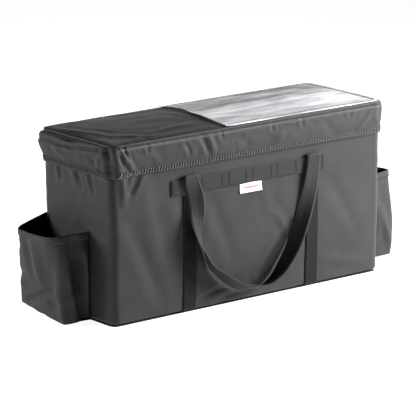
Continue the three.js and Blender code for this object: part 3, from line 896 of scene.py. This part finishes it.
def handle_surface():
    """The face of the front handle, u along it and v across it."""
    def roll(x, turn):
        return [(x, ROLL_REACH + ROLL_RADIUS * math.cos(a), ROLL_Z + ROLL_RADIUS * math.sin(a),
                 turn, 0) for a in np.radians([180, 135, 90, 45, 0])]
    rows = [*roll(-HANDLE_X, 1), *HANDLE_HANG, *roll(HANDLE_X, 179)[::-1]]
    x, reach, z, turn, tilt = catmull_rom(rows, 6).T
    turn, tilt = np.radians(turn), np.radians(tilt)
    centre = np.stack([x, -HALF_Y - reach, z], -1)
    along = np.gradient(centre, axis=0)
    along /= np.linalg.norm(along, axis=1, keepdims=True)
    side = np.stack([np.cos(tilt) * np.cos(turn), np.cos(tilt) * np.sin(turn), -np.sin(tilt)],
                    -1)
    side -= along * (side * along).sum(1, keepdims=True)
    side /= np.linalg.norm(side, axis=1, keepdims=True)
    face = np.cross(along, side)
    lengths = distances(centre)
    across = np.linspace(-HANDLE_WIDTH / 2, HANDLE_WIDTH / 2, 13)
    free = smooth_step(20, 70, lengths) * (1 - smooth_step(lengths[-1] - 70,
                                                          lengths[-1] - 20, lengths))
    grid = []
    for v in across:
        cup = free * (1.3 * (v / 19) ** 2 - 0.5 * bump(v, 1.5, 2.2)
                      + 0.5 * noise2(lengths, v, 34, 31))
        grid.append(centre + side * v + face * (cup - HANDLE_THICKNESS / 2)[:, None])
    return GridSurface(np.array(grid), lengths, across), lengths


def add_handles():
    surface, lengths = handle_surface()
    us = np.arange(0, lengths[-1], 3.0)
    vs = np.linspace(-HANDLE_WIDTH / 2, HANDLE_WIDTH / 2, 15)
    top, inner = lifted(surface, HANDLE_THICKNESS - 0.35), lifted(surface, -0.3)
    for name, turn in (("handle_front", 0), ("handle_back", math.pi)):
        strap = add_slab(name + "_webbing", surface, us, vs, HANDLE_THICKNESS - 0.4, edge=2.4)
        threads = Threads()
        edges = (-HANDLE_WIDTH / 2 + 3.4, HANDLE_WIDTH / 2 - 3.4)
        for v, face in itertools.product(edges, (top, inner)):
            threads.row(face, us[2:-2], v, 4.4)
        for end, face in itertools.product((lengths[-1] - 100, 100), (top, inner)):
            threads.row(face, end, np.arange(-15, 15.5, 1.0), 3.0)
        stitches = threads.make(name + "_stitches")
        for made in (strap, stitches):
            made.data.transform(Matrix.Rotation(turn, 4, "Z"))
        # the handles take the band's paler colour rather than the straps': painted light on their
        # turned faces
        finish_piece(strap, name, "webbing", name, look="band")
        finish_piece(stitches, name, "webbing", look="thread")


# ---- end pockets ----

# Sections of each pocket at its bottom, at MIDDLE_LEVEL and at its rim: how far the front and
# back corners stand out, the bulge between them, the corner radius, and the heights of the front
# seam, the two corners and the back seam. The right pocket's are the frame's, and the left one's
# are within 3 mm of them.
POCKET_FRONT, POCKET_BACK, POCKET_TUCK = -41, 118, 3.4
POCKETS = {
    "left": (-1, ((72, 72, 2, 3), (4, 3, 22, 12)), ((79, 76, 8, 14), (78, 78, 92, 88)),
             ((99, 84, 6, 36), (199, 197, 189, 212))),
    "right": (1, ((116, 92, 2, 8), (4, 7, 16, 12)), ((128, 98, 6, 16), (78, 76, 84, 84)),
              ((114, 92, 4, 14), (199, 207, 203, 212))),
}
MIDDLE_LEVEL = 0.4
# Creases as (share round the pocket from its front seam, share of its height), then half width
# and height in millimetres.
POCKET_FOLDS = {
    "left": [(0.15, 0.95, 0.11, 0.4, 13, -15.0), (0.12, 0.66, 0.055, -0.06, 14, -20.0),
             (0.24, 0.9, 0.26, 0.1, 12, 4.0), (0.33, 0.36, 0.64, 0.10, 7, -5.0),
             (0.40, 0.20, 0.68, 0.0, 6, 4.0), (0.28, 0.20, 0.52, -0.04, 6, -4.0),
             (0.62, 1.0, 0.55, 0.5, 11, -3.5), (0.48, 0.8, 0.44, 0.4, 12, 2.4),
             (0.70, 0.45, 0.90, 0.2, 9, -3.0), (0.86, 0.85, 0.84, 0.2, 9, -4.0)],
    "right": [(0.12, 1.0, 0.16, 0.3, 9, -5.0), (0.22, 0.6, 0.30, 0.1, 9, 3.0),
              (0.45, 0.35, 0.70, 0.12, 8, -3.6), (0.86, 0.85, 0.84, 0.15, 9, -4.0)],
}
POCKET_COLUMNS, POCKET_ROWS = 90, 46
POCKET_HEM = [(-14, 0.1), (-14, 1.3), (-9, 1.7), (-3, 1.6), (-0.2, 1.1), (0, -0.4), (-0.2, -2.2),
              (-3, -2.9), (-9, -2.8), (-14, -2.4), (-14, -1.3)]
LEAN_HEIGHT = POCKETS["left"][3][1][1]  # the front corners lean back up to here


def pocket_ring(section, heights, side):
    """Points from the front seam to the back seam round one section, evenly spaced."""
    reach_front, reach_back, bulge, radius = section
    z_front, z_front_corner, z_back_corner, z_back = heights
    wall_x = HALF_X + 0.3
    front_seam = np.array([wall_x, POCKET_FRONT, z_front])
    # the front corner sticks out towards the front at the bottom
    corner_y = POCKET_FRONT - 5 + 9 * z_front_corner / LEAN_HEIGHT
    front_corner = np.array([wall_x + reach_front, corner_y, z_front_corner])
    back_corner = np.array([wall_x + reach_back, POCKET_BACK - 2, z_back_corner])
    back_seam = np.array([wall_x - POCKET_TUCK, POCKET_BACK, z_back])
    middle = (front_corner + back_corner) / 2 + [bulge, 0, 0]

    def corner(before, at, after, size):
        start = at + (before - at) / np.linalg.norm(before - at) * size
        end = at + (after - at) / np.linalg.norm(after - at) * size
        t = np.linspace(0, 1, 7)[:, None]
        return (1 - t) ** 2 * start + 2 * t * (1 - t) * at + t**2 * end

    line = np.vstack([front_seam, corner(front_seam, front_corner, middle, radius), middle,
                      corner(middle, back_corner, back_seam, radius * 0.7), back_seam])
    length = distances(line)
    even = np.linspace(0, length[-1], POCKET_COLUMNS)
    ring = np.stack([np.interp(even, length, line[:, k]) for k in range(3)], -1)
    for _ in range(2):
        ring[1:-1] = (ring[:-2] + 2 * ring[1:-1] + ring[2:]) / 4
    return ring * [side, 1, 1]


def pocket_surface(name):
    """The outer face of a pocket as a grid surface, with u the distance round it, so that u and
    v turn out from the pocket."""
    side, low, middle, rim = POCKETS[name]
    levels = np.linspace(0, 1, POCKET_ROWS)
    rows = []
    for level in levels:
        if level <= MIDDLE_LEVEL:
            share, first, second = level / MIDDLE_LEVEL, low, middle
        else:
            share, first, second = (level - MIDDLE_LEVEL) / (1 - MIDDLE_LEVEL), middle, rim
        section, heights = (np.array(a) * (1 - share) + np.array(b) * share
                            for a, b in zip(first, second))
        rows.append(pocket_ring(section, heights, side))
    grid = np.array(rows)
    for _ in range(6):
        grid[1:-1] = (grid[:-2] + 2 * grid[1:-1] + grid[2:]) / 4
    around = distances(grid[POCKET_ROWS // 2])[-1]
    height = distances(grid[:, POCKET_COLUMNS // 2])[-1]
    if side < 0:
        grid = grid[:, ::-1]
    us, vs = np.linspace(0, around, POCKET_COLUMNS), np.linspace(0, height, POCKET_ROWS)
    smooth = GridSurface(grid, us, vs)
    u, v = np.meshgrid(us, vs)
    flip = (lambda s: 1 - s) if side < 0 else (lambda s: s)
    folds = [(flip(a) * around, b * height, flip(c) * around, d * height, width, depth)
             for a, b, c, d, width, depth in POCKET_FOLDS[name]]
    folds += stray_folds(9, (20, around - 20), (30, height - 30), 70, 9, 0.7, seed=40 + side)
    free = smooth_step(0, 14, u) * (1 - smooth_step(around - 14, around, u))
    rough = 1.3 * noise2(u, v, 55, 50 + side) + 0.2 * noise2(u, v, 17, 52 + side)
    cut_edge = smooth_step(0, 45, v)
    shift = free * (folded(u, v, folds) * (1 - 0.5 * smooth_step(height - 30, height, v))
                    * (0.3 + 0.7 * cut_edge) + rough * cut_edge)
    moved = grid + normals_of(smooth, u, v, 2.0) * shift[..., None]
    moved[..., 2] = np.maximum(moved[..., 2], 1.5)
    return GridSurface(moved, us, vs), us, vs


def add_pocket_floor(name, side, edge, us):
    """The floor runs from the pocket's lower edge back to the wall."""
    rows = []
    for share in np.linspace(0, 1, 12):
        row = edge.copy()
        row[:, 0] = edge[:, 0] * (1 - share) + side * (HALF_X + 1.0) * share
        row[:, 2] += 1.4 * math.sin(math.pi * share) + 0.8 * noise(row[:, :2], 24, 60)
        row[:, 2] = np.maximum(row[:, 2], 1.6)
        rows.append(row)
    across = np.linspace(0, 80, len(rows))
    floor = GridSurface(np.array(rows), us, across)
    finish_piece(add_slab(name + "_pocket_floor", floor, us, across, 1.2, -0.6, edge=1),
                 "carrier", "nylon_fabric")


def add_pocket(name):
    side, _, _, (_, rim_heights) = POCKETS[name]
    surface, us, vs = pocket_surface(name)
    fine_u, fine_v = np.linspace(0, us[-1], 110), np.linspace(0, vs[-1], 58)
    bag = add_slab(name + "_pocket_cloth", surface, fine_u, fine_v, 1.4, -1.4, edge=1.5)
    finish_piece(bag, "carrier", "nylon_fabric", name + "_pocket")
    add_pocket_floor(name, side, surface(fine_u, 0.0), fine_u)
    height = vs[-1]
    hem = add_binding(name + "_pocket_binding", surface, fine_u[1:-1], height, POCKET_HEM)
    finish_piece(hem, "carrier", "nylon_fabric", name + "_pocket_hem")
    threads = Threads()
    top = lifted(surface, 1.75)
    for drop in (12, 3):
        threads.row(top, fine_u[2:-2], height - drop, 3.8)
    middle = us[-1] * (0.42 if side < 0 else 0.5)
    threads.zigzag(top, np.array([middle - 5, middle + 5]), height - 13, height - 2, 1.6,
                   width=1.2)
    # tapes that bind the two seams to the wall
    for seam_y, seam_top in ((POCKET_FRONT - 2, rim_heights[0] + 1),
                             (POCKET_BACK - 10, rim_heights[3] - 2)):
        centre = BODY.left(seam_y) if side < 0 else BODY.right(seam_y)
        tape = add_slab(f"{name}_pocket_seam_{'front' if seam_y < 0 else 'back'}",
                        lifted(wall, 0.5), np.linspace(centre - 4.5, centre + 4.5, 9),
                        np.linspace(SHELL_BOTTOM + 3, seam_top, 60), 1.8, edge=2.5)
        finish_piece(tape, "carrier", "nylon_fabric", look="webbing")
        threads.row(lifted(wall, 2.4), centre, np.linspace(10, seam_top - 3, 80), 4)
    threads.finish(name + "_pocket_stitches", "carrier")


# ---- lid ----

def crown(x, y):
    u, v = np.clip(np.abs(x) / HALF_X, 0, 1), np.clip(np.abs(y) / HALF_Y, 0, 1)
    return LID_CROWN * (1 - u**4) * (1 - v**2)


LID_FOLDS = [
    (-352, -122, -250, -100, 7, 1.6), (-332, -58, -262, -116, 8, 1.7),
    (-246, -86, -130, -74, 9, 2.0), (-226, -100, -120, -96, 8, -1.2),
    (-250, -16, -150, -44, 16, -1.6), (-310, 44, -170, 16, 20, -1.3),
    (-120, 60, -90, -60, 12, 1.2), (-372, 80, -336, -60, 12, 1.8),
    (-356, 90, -322, -40, 9, -1.2), (-200, 112, -110, 92, 9, 1.2),
] + stray_folds(8, (-350, -80), (-110, 110), 120, 11, 0.7, seed=12, slope=(-0.5, 0.5))
LID_HALF_X, LID_HALF_Y, LID_RADIUS = HALF_X + 3.6, HALF_Y + 3.6, CORNER_RADIUS + 3.6
WINDOW_EDGE_X = HALF_X - 14
WINDOW_EDGE_Y = HALF_Y - 8


def lid_top(x, y):
    """Top of the lid's cover: a soft pad that rolls down to its seam."""
    inset = np.minimum(LID_HALF_X - np.abs(x), LID_HALF_Y - np.abs(y))
    under_vinyl = smooth_step(-90, -60, x)
    soft = 0.8 * noise2(x, y, 90, 70) + 0.25 * noise2(x * 0.5, y, 26, 71) + folded(
        x, y, LID_FOLDS)
    gather = 0.7 * noise2(x, y, 11, 72) * bump(inset, 4, 9)
    pillow = 1.2 * bump(inset, 18, 11) - 2.2 * bump(inset, 0, 5)
    z = LID_EDGE_Z + crown(x, y) + soft * (1 - 0.75 * under_vinyl) * smooth_step(
        0, 14, inset) + gather + pillow
    return np.maximum(z, LID_EDGE_Z - 0.4 + crown(x, y) - 2.0 * bump(inset, 0, 5))


def lid_plan(u, v):
    x, y = rounded_plan(u, v, LID_HALF_X, LID_HALF_Y, LID_RADIUS)
    return np.stack([x, y, lid_top(x, y)], -1)


UNDER_FOLDS = stray_folds(16, (-320, 320), (-80, 80), 120, 12, 1.0, seed=14)


def add_lid_pad():
    columns = plan_columns(LID_HALF_X, LID_RADIUS, 4.5)
    rows = np.concatenate([[-LID_HALF_Y, -LID_HALF_Y + 1.5],
                           np.linspace(-LID_HALF_Y + 4, LID_HALF_Y - 4, 66),
                           [LID_HALF_Y - 1.5, LID_HALF_Y]])
    pad = add_slab("lid_top_pad", lid_plan, columns, rows, 1.0, -1.0, edge=1.5)
    finish_piece(pad, "lid", "nylon_fabric", "lid_cover", look="nylon_top")


def add_lid_lining():
    """The lid's under side, which sags a little between its edges."""
    _, high = box_mm("lid_liner")

    def under_side(u, v):
        x, y = rounded_plan(-u, v, high[0], high[1], CORNER_RADIUS)
        inside = smooth_step(HALF_X - 20, HALF_X - 60, np.abs(x)) * smooth_step(
            HALF_Y - 20, HALF_Y - 60, np.abs(y))
        sag = inside * (1.6 + 1.3 * noise2(x, y, 60, 75) + folded(x, y, UNDER_FOLDS))
        return np.stack([x, y, high[2] - 0.1 - sag], -1)

    lining = add_slab("lid_underside", under_side, plan_columns(high[0], CORNER_RADIUS),
                      np.linspace(-high[1], high[1], 60), 0.9, edge=2)
    finish_piece(lining, "lid", "lining", "lid_liner")


def add_lid_edges():
    """The edge of the pad, open to view along the back, and the rolled seam round its top."""
    runs = np.linspace(0, BODY.length, 420)
    side = add_slab("lid_side_band", lambda u, v: off_outline(
        u, v, 1.15 + 0.15 * wall_noise(u, v, 24, 78)), runs,
        np.linspace(LID_BAND_LOW, SEAM_Z - 0.6, 7), 0.5, edge=0.5)
    finish_piece(side, "lid", "nylon_fabric", look="nylon_top")
    runs = np.linspace(0, BODY.length, 560)
    turns = np.linspace(-math.pi, math.pi, 13)
    rows = []
    for turn in turns:
        waver = 0.3 * wall_noise(runs, turn * 2, 9, 76)
        radius = PIPING_RADIUS - 0.3 + waver
        rows.append(off_outline(runs, SEAM_Z + radius * np.sin(turn) + 0.3 * wall_noise(
            runs, 0, 40, 77), PIPING_REACH + radius * np.cos(turn)))
    finish_piece(add_grid("lid_edge_roll", rows, runs, 0), "lid", "nylon_fabric", "lid_piping",
                 look="nylon_top")


SKIRT_RUNS = (BODY.left(SKIRT_BACK), BODY.right(SKIRT_BACK))
SKIRT_FOLDS = creases(lambda away: LEFT_CORNER + away, [
    # the pinched front left corner: a knot, bright ridges each side of it and a valley below
    (-12, 400, -8, 376, 5, -5.0), (-2, 402, 6, 360, 4, 5.0), (8, 392, 46, 338, 6, 4.6),
    (16, 396, 28, 368, 4, -4.6), (-8, 380, -4, 322, 6, -5.2), (-24, 384, -44, 344, 7, 2.6),
]) + creases(BODY.left, [
    # side skirt: two long folds under the top roll
    (112, 382, -16, 376, 4.5, -4.4), (20, 379, -112, 387, 4, -4.2), (60, 372, 20, 344, 8, 1.8),
    (-60, 366, -92, 340, 7, -2.4),
]) + creases(BODY.front, [
    # front skirt: puckers hanging from the top seam
    (-298, 402, -292, 378, 4, -3.6), (-189, 380, -178, 356, 5, -3.2),
    (-146, 392, -122, 346, 6, -4.2), (-130, 396, -108, 352, 6, 3.4), (-94, 402, -88, 380, 5, -3.6),
    (-284, 372, -262, 346, 8, 1.8), (-40, 376, -10, 350, 9, -1.8), (49, 402, 54, 378, 5, -3.2),
    (90, 378, 70, 350, 8, 1.8), (136, 402, 142, 376, 5, -3.2), (200, 380, 236, 350, 9, -1.8),
    (287, 402, 281, 378, 5, -3.2), (356, 388, 308, 344, 6, 3.6),
]) + [(RIGHT_CORNER - 4, 402, RIGHT_CORNER - 8, 366, 5, -5.0)] + stray_folds(
    16, (BODY.left(100), BODY.right(100)), (340, 384), 34, 7, 1.0, seed=15, slope=(0.6, 2.4))
SKIRT_THICK = 1.9


def skirt_hang(run, z):
    """Inner face of the skirt: how far it hangs from the flat wall."""
    _, y, normal_x, normal_y = BODY.at(run)
    fall = np.clip((z - SKIRT_LOW) / (SKIRT_TOP - SKIRT_LOW), 0, 1)
    left, right, front = (np.clip(n, 0, 1) for n in (-normal_x, normal_x, -normal_y))
    to_back = smooth_step(-130, 110, y)
    reach = 4.6 + 1.3 * bump(z, SKIRT_TOP - 11, 7)
    reach = reach + front * 2.6 * bump(z, SKIRT_TOP - 30, 20)
    reach = reach + left * (3.0 + 12 * to_back) * bump(z, SKIRT_TOP - 22, 28)
    reach = reach + right * 0.6 * bump(z, SKIRT_TOP - 20, 22)
    reach = reach + 5.0 * bump(run, LEFT_CORNER + 6, 30) * (1 - 0.6 * fall)
    free = 1 - 0.5 * smooth_step(SKIRT_TOP - 3, SKIRT_TOP, z)
    cloth = 0.8 * noise2(run, z, 46, 80) + 0.35 * noise2(run, z, 18, 81)
    cloth = cloth + folded(run, z, SKIRT_FOLDS) * (
        1 - front * 0.5 * (1 - bump(run, LEFT_CORNER, 60)))
    gather = 1.0 * noise2(run, z * 0.25, 6, 82) * bump(z, SKIRT_TOP - 5, 6)
    hem_gather = 0.5 * noise2(run, z * 0.2, 8, 83) * bump(z, SKIRT_LOW + 8, 8)
    # over the hook tape low down, over the edge of the pad above it
    nearest = 4.2 - 1.9 * smooth_step(352, 358, z)
    reach = np.maximum(reach + cloth * free + gather + hem_gather, nearest)
    tucked = smooth_step(SKIRT_TOP - 2, SKIRT_TOP + 1.6, z)
    return reach * (1 - tucked) + (PIPING_REACH - 0.8) * tucked


def skirt(run, z):
    wander = 1.4 * noise2(run, 0 * run, 70, 84) * (1 - (z - SKIRT_LOW)
                                                   / (SKIRT_TOP - SKIRT_LOW))
    return off_outline(run, z + wander, skirt_hang(run, z))


def add_skirt():
    runs = np.linspace(*SKIRT_RUNS, 460)
    heights = np.concatenate([np.arange(SKIRT_LOW, SKIRT_TOP, 2.2), [SKIRT_TOP + 1.6]])
    thick = SKIRT_THICK
    cloth = add_slab("lid_skirt_cloth", skirt, runs, heights, thick, edge=1.5)
    finish_piece(cloth, "lid", "nylon_fabric", "lid_skirt")
    hem_runs = np.linspace(SKIRT_RUNS[0] + 0.5, SKIRT_RUNS[1] - 0.5, 420)
    section = [(0.2, 0), (0, thick * 0.5), (0.1, thick + 0.2), (2, thick + 0.8), (8, thick + 0.9),
               (14, thick + 0.7), (15, thick - 0.2)]
    finish_piece(add_binding("lid_skirt_hem", skirt, hem_runs, SKIRT_LOW, section), "lid",
                 "nylon_fabric")
    threads, pale = Threads(), Threads()
    top, above = lifted(skirt, thick + 1.0), lifted(skirt, thick + 0.1)
    front_runs = np.linspace(LEFT_CORNER + 6, RIGHT_CORNER + 4, 300)
    comb = (SKIRT_LOW + 2.5, SKIRT_LOW + 12.5, 7.4)  # lowest, highest, from tooth to tooth
    pale.slanted(top, front_runs, *comb, width=3.2)
    pale.zigzag(above, front_runs, SKIRT_TOP - 9.5, SKIRT_TOP - 2.5, 5.4, width=1.8)
    for side in (np.linspace(SKIRT_RUNS[0] + 2, LEFT_CORNER, 120),
                 np.linspace(RIGHT_CORNER + 8, SKIRT_RUNS[1] - 2, 120)):
        threads.slanted(top, side, *comb, width=1.4)
        threads.zigzag(above, side, SKIRT_TOP - 9, SKIRT_TOP - 2.5, 4.6)
    threads.row(top, hem_runs, SKIRT_LOW + 13.8, 4, width=1.2)
    threads.row(above, hem_runs, SKIRT_TOP - 1.5, 3.4, width=1.1)
    threads.finish("lid_skirt_stitches", "lid")
    pale.finish("lid_zigzag_stitches", "lid", look="pale_thread")


# ---- clear window ----

WINDOW_OPEN_X = -66
VINYL_HALF_X, VINYL_HALF_Y = LID_HALF_X - 2.5, LID_HALF_Y - 2.5
WINDOW_SPAN = VINYL_HALF_X - WINDOW_OPEN_X
OVER_ROLL = 4.6  # how far the sheet is carried over the rolled seam behind it and on its right


def window_sheet(u, v):
    """u is the distance from the open edge, which bows out towards the left, and v is y."""
    half_x, half_y = VINYL_HALF_X, VINYL_HALF_Y
    u, v = paired(u, v)
    x, y = rounded_plan(WINDOW_OPEN_X + u, v, half_x, half_y, LID_RADIUS - 2.5)
    x = x - 15 * bump(y, -50, 75) * (1 - smooth_step(0, 120, u))
    x = x + OVER_ROLL * smooth_step(half_x - 20, half_x, x)
    y = y + OVER_ROLL * smooth_step(half_y - 20, half_y, y)
    roll_x, roll_y = HALF_X + PIPING_REACH, HALF_Y + PIPING_REACH
    past = np.minimum(np.abs(x - roll_x), np.abs(y - roll_y))
    over_roll = SEAM_Z + 0.4 + np.sqrt(np.maximum((PIPING_RADIUS + 0.5) ** 2 - past**2, 0))
    over_roll = np.where(past < PIPING_RADIUS + 0.5, over_roll, 0)
    groove = bump(np.abs(y), WINDOW_EDGE_Y, 2.2) + bump(x, WINDOW_EDGE_X, 2.2)
    inside = smooth_step(0, 24, WINDOW_EDGE_Y - np.abs(y)) * smooth_step(
        0, 24, WINDOW_EDGE_X - x)
    waves = (1.7 * noise(np.stack([x * 0.7, y], -1), 50, 90)
             + 0.9 * noise(np.stack([x * 0.45, y], -1), 22, 91))
    lift = 1.9 + inside * (1.6 + waves) - 0.9 * np.clip(groove, 0, 1) + 1.2 * bump(u, 0, 8)
    pad = lid_top(x, y)
    z = np.maximum(pad + 0.8, pad * 0.35 + 0.65 * (LID_EDGE_Z + crown(x, y)) + lift)
    return np.stack([x, y, np.maximum(z, over_roll)], -1)


def add_window():
    span, half_y = WINDOW_SPAN, VINYL_HALF_Y
    us = np.concatenate([np.linspace(0, span - 22, 120), np.linspace(span - 21, span, 12)])
    vs = np.linspace(-half_y, half_y, 90)
    sheet = add_slab("window_vinyl", window_sheet, us, vs, 0.45, edge=0.6)
    finish_piece(sheet, "lid", "clear_vinyl", "document_window")
    top = lifted(window_sheet, 0.5)
    strips = {
        "window_edge_front": ("window_tape_front", us[2:-8],
                              np.linspace(-half_y + 0.6, -WINDOW_EDGE_Y - 1.5, 8)),
        "window_edge_back": ("window_tape_back", us[2:-8],
                             np.linspace(WINDOW_EDGE_Y + 1.5, half_y - 0.6, 8)),
        "window_edge_right": ("window_tape_right", np.linspace(span - 12, span - 0.8, 8),
                              np.linspace(-WINDOW_EDGE_Y + 2, WINDOW_EDGE_Y - 2, 80)),
    }
    for name, (node, strip_u, strip_v) in strips.items():
        finish_piece(add_slab(name, top, strip_u, strip_v, 0.5, edge=0.8), "lid", "clear_vinyl",
                     node)
    finish_piece(add_slab("window_lip", top, np.linspace(0.2, 6, 6), vs[1:-1], 0.7, edge=0.8),
                 "lid", "clear_vinyl")
    threads = Threads()
    for line_u, line_v in (
            (us[1:-8], -WINDOW_EDGE_Y), (us[1:-8], WINDOW_EDGE_Y),
            (WINDOW_EDGE_X - WINDOW_OPEN_X, np.linspace(-WINDOW_EDGE_Y, WINDOW_EDGE_Y, 80))):
        threads.row(top, line_u, line_v, 3.6, 0.8, width=1.3)
    threads.finish("window_stitches", "lid")


def add_hinge():
    """The strip that joins the lid to the back wall, curving up from the wall into the lid."""
    low, high = box_mm("hinge_strip")
    path = catmull_rom([(0.6, low[2]), (0.6, low[2] + 18), (0.8, 382), (2.4, 388.5),
                        (4.2, 393), (5.0, 397.4)], 6)
    steps = distances(path)

    def surface(u, v):
        reach = np.interp(v, steps, path[:, 0]) + 0.35 * noise2(u, v, 30, 95) * smooth_step(
            0, 12, v)
        return off_outline(u, np.interp(v, steps, path[:, 1]), np.maximum(reach, 0.4))

    us = np.linspace(BODY.back(high[0]), BODY.back(low[0]), 190)
    strip = add_slab("hinge_fabric", surface, us, np.linspace(0, steps[-1], 30), 1.0, edge=1)
    finish_piece(strip, None, "nylon_fabric", "hinge_strip")
    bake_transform(strip)
    threads = Threads()
    for rise in (3, 7):
        threads.row(lifted(surface, 1.0), us[1:-1], rise, 4)
    threads.finish("hinge_stitches", "carrier")


def dress_frame_nodes():
    """Materials for the frame's own nodes that stay: foam, board and hook-and-loop tapes."""
    by_name = {"foam": "foam", "board": "stiffener", "tape": "hook_and_loop"}
    for name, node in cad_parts.items():
        if node.hide_render:
            continue
        look = next((LOOKS[v] for k, v in by_name.items() if k in name), None)
        if look is None:
            raise ValueError(f"no material for {name}")
        node.data.materials.clear()
        node.data.materials.append(look)


# ---- stage and light ----

# Brightness of the studio round the object: (from, to, brightness at from, brightness at to), by
# the sine of the height and by how nearly a direction is that of the near corner.
OVERHEAD = (0.24, 0.60, 1.3, 0.22)
BEYOND_CORNER = (-0.1, 0.6, 1.0, 0.02)
NEAR_CORNER = (-0.70, -0.71, 0)


def add_stage():
    bpy.ops.mesh.primitive_plane_add(size=30)
    floor = bpy.context.object
    floor.name = "floor"
    look = Look("floor", (0.5, 0.5, 0.5), 0.8, Emission_Color=(1, 1, 1, 1),
                Emission_Strength=0.93, Specular_IOR_Level=0.1)
    grain = look.cloud(look.node("TexCoord", {}).outputs["Object"], 3, 2)
    look.tint((0.5, 0.5, 0.5), look.vary(grain, 0.99, 1.01))
    floor.data.materials.append(look.material)
    # a studio that is white at eye level, dim overhead and dark beyond the near corner
    world = bpy.data.worlds.new("studio")
    world.use_nodes = True
    studio = Nodes(world.node_tree)
    direction = studio.node("TexCoord", {}).outputs["Generated"]
    height = studio.node("SeparateXYZ", {0: direction}).outputs[2]
    corner = studio.node("VectorMath", {0: direction, 1: NEAR_CORNER},
                         operation="DOT_PRODUCT").outputs["Value"]
    levels = [studio.ramp(source, *spread, interpolation_type="SMOOTHSTEP")
              for source, spread in ((height, OVERHEAD), (corner, BEYOND_CORNER))]
    studio.set(world.node_tree.nodes["Background"], {"Strength": studio.times(*levels)})
    bpy.context.scene.world = world
    bpy.context.scene.view_settings.view_transform = "Standard"


def add_area(name, location, target, size, power):
    data = bpy.data.lights.new(name, "AREA")
    data.shape, data.size, data.size_y, data.energy = "RECTANGLE", *size, power
    lamp = bpy.data.objects.new(name, data)
    lamp.location = location
    lamp.rotation_mode = "QUATERNION"
    lamp.rotation_quaternion = (Vector(target) - Vector(location)).to_track_quat("-Z", "Y")
    bpy.context.scene.collection.objects.link(lamp)


def add_lights():
    add_area("key", (1.5, -1.05, 0.85), target=(0.1, -0.1, 0.2), size=(0.8, 0.8), power=142)
    add_area("side", (-1.9, 1.3, 0.85), target=(-0.4, 0, 0.2), size=(1.0, 0.8), power=58)


add_camera()
add_stage()
add_lights()
add_body()
add_rim()
add_lining()
add_straps()
add_label()
add_handles()
for pocket in POCKETS:
    add_pocket(pocket)
add_lid_pad()
add_lid_lining()
add_lid_edges()
add_skirt()
add_window()
add_hinge()
dress_frame_nodes()
